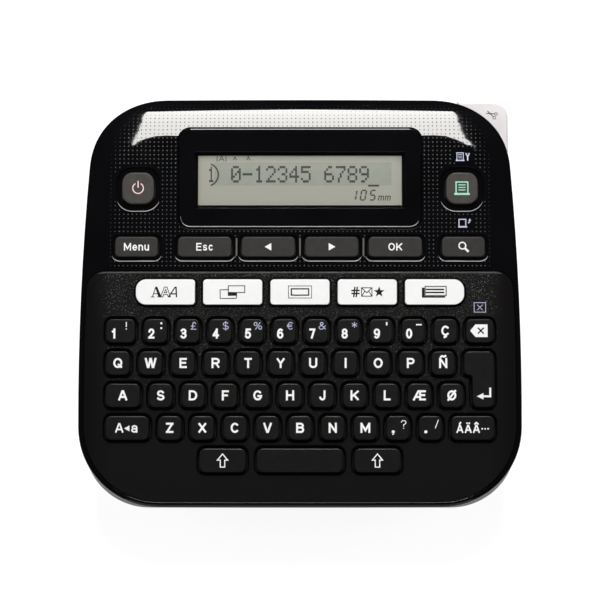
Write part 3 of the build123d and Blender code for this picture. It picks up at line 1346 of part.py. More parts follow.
def all_nodes():
    nodes = {
        "upper_case": upper_case(),
        "keyboard_panel": keyboard_panel(),
        "lower_case": lower_case(),
        "compartment_cover": compartment_cover(),
        "rubber_feet": rubber_feet(),
        "case_screws": case_screws(),
        "display_bezel": display_bezel(),
        "display_lens": display_lens(),
        "lcd_module": lcd_module(),
        "keypad_sheet": keypad_sheet(),
        "main_board": main_board(),
        "board_screws": board_screws(),
        "batteries": batteries(),
        "battery_contacts": battery_contacts(),
        "power_inlet": power_inlet(),
        "mechanism_frame": mechanism_frame(),
        "mechanism_screws": mechanism_screws(),
        "idler_gear": idler_gear(),
        "platen_gear": platen_gear(),
        "motor_pinion": motor_pinion(),
        "drive_motor": drive_motor(),
        "ribbon_drive_spindle": ribbon_drive_spindle(),
        "platen_roller": platen_roller(),
        "roller_holder": roller_holder(),
        "roller_holder_pin": roller_holder_pin(),
        "heat_sink": heat_sink(),
        "print_head": print_head(),
        "cassette_case": cassette_case(),
        "tape_spool": tape_spool(),
        "ribbon_supply_spool": ribbon_supply_spool(),
        "ribbon_takeup_spool": ribbon_takeup_spool(),
        "label_tape": label_tape(),
        "cutter_lever": cutter_lever(),
        "cutter_blade": cutter_blade(),
        "lever_pivot_pin": lever_pivot_pin(),
    }
    key_top = PANEL_PROUD + KEY_PROUD
    plain_keys = split_keys(function=False)
    white_keys = split_keys(function=True)
    nodes.update(key_nodes(plain_keys, key_top, PANEL_BOTTOM_N, KEY_CLEARANCE, KEY_FILLET))
    nodes.update(key_nodes(white_keys, key_top, PANEL_BOTTOM_N, FUNCTION_CLEARANCE, FUNCTION_FILLET))
    nodes.update(key_nodes(fascia_keys(), FASCIA_KEY_PROUD, -SKIN, FASCIA_CLEARANCE, KEY_FILLET))
    nodes.update(key_nodes(side_buttons(), FASCIA_KEY_PROUD, -SKIN, FASCIA_CLEARANCE, KEY_FILLET))
    return nodes


def main():
    os.makedirs("parts", exist_ok=True)
    for name, shape in all_nodes().items():
        node = Compound(children=shape) if isinstance(shape, list) else shape
        export_step(node, os.path.join("parts", name + ".step"))


main()
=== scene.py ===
import json
import math

import bmesh
import bpy
from mathutils import Matrix, Vector


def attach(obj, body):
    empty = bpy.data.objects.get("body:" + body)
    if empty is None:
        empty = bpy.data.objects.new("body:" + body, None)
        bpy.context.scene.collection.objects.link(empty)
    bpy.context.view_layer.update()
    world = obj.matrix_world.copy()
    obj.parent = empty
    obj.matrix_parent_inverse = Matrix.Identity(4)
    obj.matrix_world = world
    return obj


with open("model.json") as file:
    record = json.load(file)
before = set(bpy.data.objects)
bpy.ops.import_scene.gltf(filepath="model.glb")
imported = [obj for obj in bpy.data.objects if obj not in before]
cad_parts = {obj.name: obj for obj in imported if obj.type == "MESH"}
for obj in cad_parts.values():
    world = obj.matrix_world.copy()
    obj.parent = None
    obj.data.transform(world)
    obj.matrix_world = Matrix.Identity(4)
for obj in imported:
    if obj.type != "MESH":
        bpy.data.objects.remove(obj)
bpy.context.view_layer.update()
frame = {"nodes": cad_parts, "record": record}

# The sloped face: x to the right, s up the slope and n out of it, in millimetres.
MM = 0.001
FACE_TILT = math.radians(12.0)
FACE = (Matrix.Translation((0.0, -4.0 * MM, 54.1 * MM))
        @ Matrix.Rotation(FACE_TILT, 4, "X") @ Matrix.Scale(MM, 4))
FROM_FACE = FACE.inverted()

# Outline of the fascia and its rolled rear edge.
CASE_HALF_WIDTH = 79.0
CASE_REAR_S = 74.5
CASE_REAR_RADIUS = 27.5
ROLL_START_S = 57.0
ROLL_RADIUS = 25.0

# Marks (print, painted shade and painted highlights) are thin closed solids, half sunk in what carries them.
MARK_THICKNESS = 0.04
MARK_LIFT = 0.0008
MARK_LIFTS = 12

# How far below its highest point a part's flat top may lie.
FLATNESS = 0.01

# Heights of capitals, and shares of that height: the gap between letters and the weights of their lines.
LETTER_CAP = 3.6
WORD_CAP = 2.75
SMALL_CAP = 2.7
LETTER_GAP = 0.2
BOLD = 0.195
MIDDLING = 0.16
PLAIN = 0.14
LIGHT = 0.1
LETTER_NARROW = 0.88
DIGIT_NARROW = 0.8
WORD_NARROW = 0.84

# Widths of the lines of signs.
HAIR = 0.22
THIN = 0.3
MEDIUM = 0.45

# Places of the signs that aren't centred on a key, as x and s.
CUT_LABEL_AT = (57.5, 52.8)
CUT_BLADES_AT = (60.2, 52.85)
FEED_LABEL_AT = (58.25, 28.8)
FEED_ARROW_AT = (60.8, 29.4)
BOXED_CROSS_AT = (64.1, -1.5)
ENTER_AT = (65.25, -32.2)
SCISSORS_AT = (70.2, 69.6)
SCISSORS_TURN = -115

# Painted shade: dark rings round the panel's openings. Painted highlights: pale lines with pointed ends
# along the wells of the fascia.
RING_WIDTH = 0.45
HIGHLIGHT_WIDTH = 0.27
HIGHLIGHT_RISE = 1.6
HIGHLIGHT_TIP = 0.06
HIGHLIGHT_LEAST = 0.4
PANEL_HIGHLIGHT_LEAST = 0.93
WELL_WIDEST = 100.0

# Raised dots on the fascia.
DOT_PITCH = 1.54
DOT_RADIUS = 0.28
DOT_HEIGHT = 0.06
DOT_SINK = 0.02
DOT_SIDES = 8
DOT_FRONT_S = 13.48
DOT_REAR_MARGIN = 1.5
DOT_SIDE_CURVE = 0.03
DOT_FADE = 9.0
DOT_LEAST = 0.3
DOT_CLEARANCE = 0.7

# Rounded rectangles without dots, as the middle's x and s, half width, half length and corner radius: the
# bezel, the two button wells and the two signs at the right.
KEEP_OUTS = (
    (0.0, 45.05, 43.5, 18.05, 4.2),
    (-58.0, 41.3, 7.75, 7.75, 4.8),
    (58.0, 41.3, 7.75, 7.75, 4.8),
    (58.8, 52.8, 3.2, 1.8, 0.5),
    (59.0, 28.8, 2.6, 1.8, 0.5),
)
NAV_WELL_MARGIN = 1.0
NAV_WELL_RADIUS = 2.6

# Keys in front of the display, and the white keys in front of those with the depth of their white tops,
# below which painted shade darkens their sides.
NAV_NODES = ("menu_key", "esc_key", "left_arrow_key", "right_arrow_key", "ok_key", "search_key")
FUNCTION_NODES = ("style_key", "label_key", "frame_key", "symbol_key", "file_key")
WHITE_TOP_DEPTH = 0.3

# Where the panel's grain and its painted glints fade out, in metres to the sides and to the front.
PANEL_SIDE_FADE = (0.067, 0.0745)
PANEL_FRONT_FADE = (-0.06, 0.0)

# Display contents: five by seven dots for a character, a slanted seven segment number, and boxes by their
# corners for the row of idle cells, the cursor and the two bars beside the small sign.
CHARACTER_WIDTH = 3.5
CHARACTER_HEIGHT = 6.05
CHARACTER_PITCH = 4.19
CHARACTER_START_X = -24.8
CHARACTER_LINE_S = 43.65
CHARACTER_FILL = 0.98
SEGMENT_WIDTH = 1.7
SEGMENT_HEIGHT = 3.5
SEGMENT_PITCH = 3.4
SEGMENT_STROKE = 0.5
SEGMENT_SLANT = 0.18
SEGMENT_START_X = 18.2
SEGMENT_LINE_S = 37.35
IDLE_CELLS = (-30.8, 42.6, 32.9, 50.9)
CURSOR = (24.5, 42.2, 28.4, 42.9)
STATUS_S = 52.4
STATUS_BARS = ((-30.0, 51.3, -29.7, 53.5), (-26.8, 51.3, -26.5, 53.5))
STATUS_PEAKS_X = (-23.4, -18.6)

# Rear softbox: distance, lean from the face's normal, and half of its outline in metres: the outer edge, the
# tips of its two horns, which give the bright band its pointed ends, and the inner edge.
SOFTBOX_DISTANCE = 1.4
SOFTBOX_LEAN = 50.0
SOFTBOX_GLOW = 46.0
SOFTBOX_OUTER = ((0.0, 0.72), (0.106, 0.67), (0.192, 0.59), (0.187, 0.05), (0.196, -0.36),
                 (0.216, -0.77))
SOFTBOX_TIPS = {1: (0.254, -1.206), -1: (0.244, -1.193)}
SOFTBOX_INNER = ((0.222, -0.97), (0.205, -0.81), (0.185, -0.635), (0.169, -0.6), (0.148, -0.62))

# Dark cards that shape the gloss, by the two ends of each and its lower and upper edges, in metres.
FLAGS = {
    "flag_left": ((-0.13, -0.2), (-0.13, 0.2), 0.0, 0.35),
    "flag_right": ((0.13, -0.2), (0.13, 0.2), 0.0, 0.35),
    "flag_rear": ((-0.2, 0.14), (0.2, 0.14), 0.0, 0.085),
    "flag_keys": ((-0.08, 0.046), (0.08, 0.046), 0.07, 0.13),
}

# Camera, in the face's own coordinates.
CAMERA_EYE = (0.0, -45.1, 598.2)
CAMERA_TARGET = (0.0, 1.194, 0.0)
CAMERA_LENS = 100.9
CAMERA_SENSOR = 36.0


# New objects and materials

def new_object(name, bm, material):
    """Puts a mesh of one material in the scene, and frees what it was built in."""
    mesh = bpy.data.meshes.new(name)
    bm.to_mesh(mesh)
    bm.free()
    mesh.materials.append(material)
    made = bpy.data.objects.new(name, mesh)
    bpy.context.scene.collection.objects.link(made)
    return made


def new_material(name):
    material = bpy.data.materials.new(name)
    material.use_nodes = True
    tree = material.node_tree
    return material, tree, tree.nodes["Principled BSDF"]


def feed(tree, node, inputs):
    """Gives a node its inputs: a socket is linked, and any other value is set."""
    for name, value in inputs.items():
        if isinstance(value, bpy.types.NodeSocket):
            tree.links.new(value, node.inputs[name])
        else:
            node.inputs[name].default_value = value


def add_node(tree, kind, inputs, output, operation=None):
    """Adds a node with its inputs, and gives one of its outputs."""
    node = tree.nodes.new(f"ShaderNode{kind}")
    if operation:
        node.operation = operation
    feed(tree, node, inputs)
    return node.outputs[output]


def calculate(tree, operation, *values):
    return add_node(tree, "Math", dict(enumerate(values)), "Value", operation)


def place(tree):
    return add_node(tree, "TexCoord", {}, "Object")


def place_along(tree, axis):
    return add_node(tree, "SeparateXYZ", {"Vector": place(tree)}, axis)


def noise(tree, scale, detail=3.0):
    return add_node(tree, "TexNoise", {"Vector": place(tree), "Scale": scale, "Detail": detail}, "Fac")


def spread(tree, value, low, high, start=0.3, end=0.7):
    """Maps a value between start and end to the range from low to high."""
    limits = {"From Min": start, "From Max": end, "To Min": low, "To Max": high}
    return add_node(tree, "MapRange", {"Value": value, **limits}, "Result")


def blend_colours(tree, value, dark, light):
    ramp = tree.nodes.new("ShaderNodeValToRGB")
    for stop, position, colour in zip(ramp.color_ramp.elements, (0.3, 0.7), (dark, light)):
        stop.position = position
        stop.color = (*colour, 1.0)
    feed(tree, ramp, {"Fac": value})
    return ramp.outputs["Color"]


def scaled(colour, factor):
    return tuple(min(1.0, c * factor) for c in colour)


def raise_bumps(tree, shader, height, depth):
    normal = add_node(tree, "Bump", {"Height": height, "Distance": depth, "Strength": 1.0}, "Normal")
    feed(tree, shader, {"Normal": normal})


def surface(name, colour, roughness, vary=0.1, grain=1500.0, depth=6e-6, ior=1.5):
    """Moulded stuff: cloudy colour, uneven roughness and a fine grain."""
    material, tree, shader = new_material(name)
    dark = scaled(colour, 1 - vary)
    light = scaled(colour, 1 + vary)
    feed(tree, shader, {
        "Base Color": blend_colours(tree, noise(tree, grain * 0.15), dark, light),
        "Roughness": spread(tree, noise(tree, grain * 0.4), roughness * 0.85, roughness * 1.15),
        "IOR": ior,
    })
    raise_bumps(tree, shader, noise(tree, grain), depth)
    return material


def mark_ink(name, colour, roughness=0.5, vary=0.05, grain=2500.0, depth=3e-6, ior=1.5):
    return surface(name, colour, roughness, vary, grain, depth, ior)


def textured_black():
    """Sparkling grain at the panel's rear that fades to a satin at the front and to black at the sides: the
    grain is a real bump, and its pale flecks are glints painted into the colour.
    """
    material, tree, shader = new_material("textured_black")
    aside = calculate(tree, "ABSOLUTE", place_along(tree, "X"))
    middle = spread(tree, aside, 1.0, 0.0, *PANEL_SIDE_FADE)
    behind = spread(tree, place_along(tree, "Y"), 0.15, 1.0, *PANEL_FRONT_FADE)
    rear = calculate(tree, "MULTIPLY", behind, middle)
    # Pale flecks painted into the colour as glints, fading to the front and to the sides.
    glint_spots = spread(tree, noise(tree, 2600.0, 1.0), 0.0, 1.0, 0.57, 0.73)
    painted_glint = calculate(tree, "MULTIPLY", glint_spots, rear)
    feed(tree, shader, {
        "Base Color": blend_colours(tree, painted_glint, (0.006, 0.0055, 0.0055), (0.12, 0.116, 0.112)),
        "Roughness": spread(tree, painted_glint, 0.36, 0.25, 0.0, 1.0),
        "Specular IOR Level": spread(tree, middle, 0.05, 0.5, 0.0, 1.0),
        "IOR": 1.16,
    })
    raise_bumps(tree, shader, calculate(tree, "MULTIPLY", noise(tree, 1700.0, 4.0), rear), 5e-5)
    return material


def white_top_shaded_sides(node):
    """A key white on its top, with painted shade on its sides and flange where the gaps round it are dark.
    """
    material, tree, shader = new_material("white_top_shaded_sides")
    outward = (FACE.to_3x3() @ Vector((0.0, 0.0, 1.0))).normalized()
    top = max(outward.dot(vert.co) for vert in frame["nodes"][node].data.vertices)
    height = add_node(tree, "VectorMath", {0: place(tree), 1: outward}, "Value", "DOT_PRODUCT")
    depth = WHITE_TOP_DEPTH * MM
    # Below the white top the colour turns dark: painted shade.
    white_share = spread(tree, height, 0.0, 0.7, top - depth, top - 0.7 * depth)
    cloudy = calculate(tree, "MULTIPLY", white_share, spread(tree, noise(tree, 400.0), 0.985, 1.0))
    feed(tree, shader, {
        "Base Color": blend_colours(tree, cloudy, (0.006, 0.006, 0.006), (0.87, 0.87, 0.86)),
        "Roughness": spread(tree, noise(tree, 1000.0), 0.36, 0.48),
    })
    raise_bumps(tree, shader, noise(tree, 2600.0), 5e-6)
    return material


def clear_window():
    material, tree, shader = new_material("clear_window")
    feed(tree, shader, {
        "Base Color": blend_colours(tree, noise(tree, 200.0), (0.01, 0.011, 0.01), (0.014, 0.015, 0.014)),
        "Roughness": spread(tree, noise(tree, 900.0), 0.02, 0.05),
        "Alpha": 0.06,
    })
    material.surface_render_method = "BLENDED"
    return material


def lcd_panel():
    """Grey-green liquid crystal panel with the fine columns of its electrodes."""
    material, tree, shader = new_material("lcd_panel")
    columns = add_node(tree, "TexWave", {"Vector": place(tree), "Scale": 450.0, "Distortion": 0.4}, "Fac")
    tone = spread(tree, columns, 0.42, 0.58, 0.0, 1.0)
    feed(tree, shader, {
        "Base Color": blend_colours(tree, tone, (0.39, 0.385, 0.32), (0.43, 0.425, 0.355)),
        "Roughness": spread(tree, noise(tree, 1200.0), 0.3, 0.4),
    })
    return material


def circuit_board():
    """Green solder resist over a pattern of paler copper tracks."""
    material, tree, shader = new_material("circuit_board")
    tracks = tree.nodes.new("ShaderNodeTexBrick")
    feed(tree, tracks, {
        "Vector": place(tree),
        "Scale": 140.0,
        "Mortar Size": 0.03,
        "Color1": (0.012, 0.11, 0.04, 1.0),
        "Color2": (0.016, 0.13, 0.05, 1.0),
        "Mortar": (0.05, 0.24, 0.1, 1.0),
    })
    uneven = spread(tree, noise(tree, 700.0), 0.3, 0.45)
    feed(tree, shader, {"Base Color": tracks.outputs["Color"], "Roughness": uneven})
    raise_bumps(tree, shader, tracks.outputs["Fac"], 2e-5)
    return material


def brushed(name, colour, roughness):
    """Metal with fine lines drawn along one way."""
    material, tree, shader = new_material(name)
    drawn = add_node(tree, "Mapping", {"Vector": place(tree), "Scale": (60.0, 3000.0, 3000.0)}, "Vector")
    lines = add_node(tree, "TexNoise", {"Vector": drawn, "Scale": 1.0}, "Fac")
    feed(tree, shader, {
        "Base Color": blend_colours(tree, lines, scaled(colour, 0.85), scaled(colour, 1.1)),
        "Roughness": spread(tree, lines, roughness * 0.7, roughness * 1.3),
        "Metallic": 1.0,
    })
    raise_bumps(tree, shader, lines, 3e-6)
    return material


# Finishes by the record's material slots.
FINISHES = {
    "black_gloss": surface("gloss_black", (0.0032, 0.0032, 0.0038), 0.02, 0.2, 260.0, 1e-7, ior=1.3),
    "black_texture": textured_black(),
    "light_grey": surface("light_grey", (0.62, 0.62, 0.6), 0.45, 0.03, 2400.0, 1e-5),
    "key_black": surface("key_black", (0.0074, 0.0078, 0.0074), 0.33, 0.12, 3000.0, 8e-6, ior=1.2),
    "key_grey": surface("key_grey", (0.036, 0.034, 0.032), 0.38, 0.1, 2600.0, 8e-6, ior=1.17),
    "white": surface("white_plastic", (0.86, 0.86, 0.85), 0.42, 0.02, 2600.0, 5e-6),
    "clear": clear_window(),
    "lcd": lcd_panel(),
    "sheet_rubber": surface("sheet_rubber", (0.32, 0.32, 0.33), 0.7, 0.08, 1800.0, 1e-5),
    "foot_rubber": surface("foot_rubber", (0.018, 0.018, 0.018), 0.75, 0.2, 2200.0, 2e-5),
    "board": circuit_board(),
    "steel": brushed("bright_steel", (0.6, 0.6, 0.61), 0.28),
    "alloy": brushed("milled_alloy", (0.72, 0.72, 0.73), 0.36),
    "cell": surface("cell_wrap", (0.06, 0.09, 0.16), 0.3, 0.2, 500.0, 4e-6),
    "gear_plastic": surface("gear_plastic", (0.72, 0.7, 0.64), 0.5, 0.05, 1600.0, 8e-6),
    "cassette_plastic": surface("cassette_plastic", (0.05, 0.052, 0.056), 0.5, 0.1, 2000.0, 1e-5),
    "tape": surface("label_tape", (0.85, 0.84, 0.8), 0.35, 0.03, 1400.0, 4e-6),
    "head_ceramic": surface("head_ceramic", (0.45, 0.42, 0.36), 0.25, 0.08, 1200.0, 3e-6),
}

# Inks of the marks.
INKS = {
    "white": mark_ink("ink_white", (0.86, 0.86, 0.86), vary=0.03),
    "black": mark_ink("ink_black", (0.004, 0.004, 0.004), 0.6, vary=0.2, ior=1.2),
    # Painted shade: the dark rings round the panel's openings.
    "well": mark_ink("painted_shade_black", (0.0015, 0.0015, 0.0015), 0.7, vary=0.2, ior=1.03),
    # Painted highlights on the ribs between the middle keys and along the keyboard panel's rear edge.
    "rib": mark_ink("painted_dim_highlight", (0.09, 0.088, 0.085), 0.3, vary=0.2, grain=1500.0),
    # Painted highlights along the lower lips of the fascia's wells and of the bezel.
    "lip": mark_ink("painted_lip_highlight", (0.36, 0.355, 0.35), 0.35, vary=0.1, grain=1500.0),
    "grey": mark_ink("ink_grey", (0.12, 0.12, 0.12), vary=0.1),
    "lavender": mark_ink("ink_lavender", (0.46, 0.48, 0.66)),
    "pink": mark_ink("ink_pink", (0.82, 0.56, 0.56)),
    "mint": mark_ink("ink_mint", (0.3, 0.68, 0.49)),
    "crystal": mark_ink("liquid_crystal", (0.03, 0.034, 0.026), 0.4, vary=0.1, depth=2e-6),
    "cells": mark_ink("idle_cells", (0.325, 0.345, 0.285), 0.4, vary=0.04, depth=2e-6),
}

# Parts whose finish differs from that of their slot.
OWN_FINISHES = {
    # The lever's white is a darker, warmer copy of the keys' white; the darkening is painted shade.
    "cutter_lever": surface("lever_white", (0.7, 0.665, 0.665), 0.45, 0.02, 2600.0, 5e-6),
    # The buttons' grey is a lighter copy of the keys' grey, as painted light.
    "power_button": surface("button_grey", (0.06, 0.055, 0.051), 0.4, 0.1, 2600.0, 8e-6, ior=1.17),
}
OWN_FINISHES["print_button"] = OWN_FINISHES["power_button"]
# The white keys' dark sides are painted shade.
OWN_FINISHES.update(dict.fromkeys(FUNCTION_NODES, white_top_shaded_sides(FUNCTION_NODES[0])))
DOT_BLACK = surface("dot_black", (0.05, 0.05, 0.05), 0.35, 0.2, 900.0, 2e-6, ior=1.4)


def finish_nodes():
    """Gives every part its finish, and shading that follows the larger faces."""
    for row in frame["record"]["subparts"]:
        part = frame["nodes"][row["node"]]
        part.data.materials.clear()
        part.data.materials.append(OWN_FINISHES.get(row["node"], FINISHES[row["material_slot"]]))
        shading = part.modifiers.new("shading", "WEIGHTED_NORMAL")
        shading.weight = 100


# Flat shapes, drawn round their own origin in millimetres, as lists of polygons

def points_of(*pairs):
    return [Vector(pair) for pair in pairs]


def box(x0, y0, x1, y1):
    return points_of((x0, y0), (x1, y0), (x1, y1), (x0, y1))


def arc(radius, start, end, steps=24, centre=(0.0, 0.0)):
    """Points on a circle between two angles in degrees."""
    angles = [math.radians(start + (end - start) * i / steps) for i in range(steps + 1)]
    return [Vector((centre[0] + radius * math.cos(a), centre[1] + radius * math.sin(a))) for a in angles]


def star(radius, waist, tips=5):
    turns = [math.pi / 2 + math.pi * i / tips for i in range(2 * tips)]
    radii = [radius, waist] * tips
    return [Vector((r * math.cos(a), r * math.sin(a))) for r, a in zip(radii, turns)]


def side_points(point, before, after, width):
    """The two points beside a line's corner, mitred between the runs before and after it."""
    runs = [run.normalized() for run in (point - before, after - point) if run.length > 0]
    along = sum(runs, Vector((0.0, 0.0))).normalized()
    across = Vector((-along.y, along.x))
    reach = width / 2 / max(0.4, along.dot(runs[0]))
    return point + across * reach, point - across * reach


def stroke(points, width, closed=False):
    """A line of that width through the points, one polygon for each run."""
    count = len(points)
    sides = []
    for i, point in enumerate(points):
        before = points[i - 1] if closed or i > 0 else point
        after = points[(i + 1) % count] if closed or i < count - 1 else point
        sides.append(side_points(point, before, after, width))
    following = sides[1:] + (sides[:1] if closed else [])
    return [[a, c, d, b] for (a, b), (c, d) in zip(sides, following)]


def outline(x0, y0, x1, y1, width):
    """A rectangle's frame, inside its corners."""
    w = width / 2
    return stroke(box(x0 + w, y0 + w, x1 - w, y1 - w), width, closed=True)


def moved(polygons, x, y):
    return [[point + Vector((x, y)) for point in polygon] for polygon in polygons]


def resized(polygons, factor):
    return [[point * factor for point in polygon] for polygon in polygons]


def turned(polygons, degrees):
    turn = Matrix.Rotation(math.radians(degrees), 2)
    return [[turn @ point for point in polygon] for polygon in polygons]


def leaning(polygons, lean):
    return [[Vector((p.x + lean * p.y, p.y)) for p in polygon] for polygon in polygons]


# Marks on the face, gathered into one piece for each body and ink

marks = {}


def sheet_for(body, ink):
    if (body, ink) not in marks:
        marks[body, ink] = bmesh.new()
    return marks[body, ink]


def prism(bm, polygon, placing, thickness):
    top = [bm.verts.new(placing @ Vector((*p, thickness / 2))) for p in polygon]
    bottom = [bm.verts.new(placing @ Vector((*p, -thickness / 2))) for p in polygon]
    bm.faces.new(top)
    bm.faces.new(bottom[::-1])
    count = len(polygon)
    for i in range(count):
        j = (i + 1) % count
        bm.faces.new((top[i], bottom[i], bottom[j], top[j]))


def draw(body, ink, polygons, spot):
    """Puts polygons on the face, each a hair thicker than the last so that no two tops coincide."""
    placing = FACE @ Matrix.Translation(spot)
    for i, polygon in enumerate(polygons):
        prism(sheet_for(body, ink), polygon, placing, MARK_THICKNESS + MARK_LIFT * (i % MARK_LIFTS))


def beside(spot, x, s=0.0):
    return spot + Vector((x, s, 0.0))


def finish_marks():
    for (body, ink), bm in marks.items():
        bmesh.ops.recalc_face_normals(bm, faces=bm.faces)
        piece = new_object(f"{body}_marks_{ink}", bm, INKS[ink])
        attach(piece, body)


# Letters as a width and centre-lines in a unit box: a pair is a corner, six numbers are a bow round
# a middle with two radii and two angles in degrees.

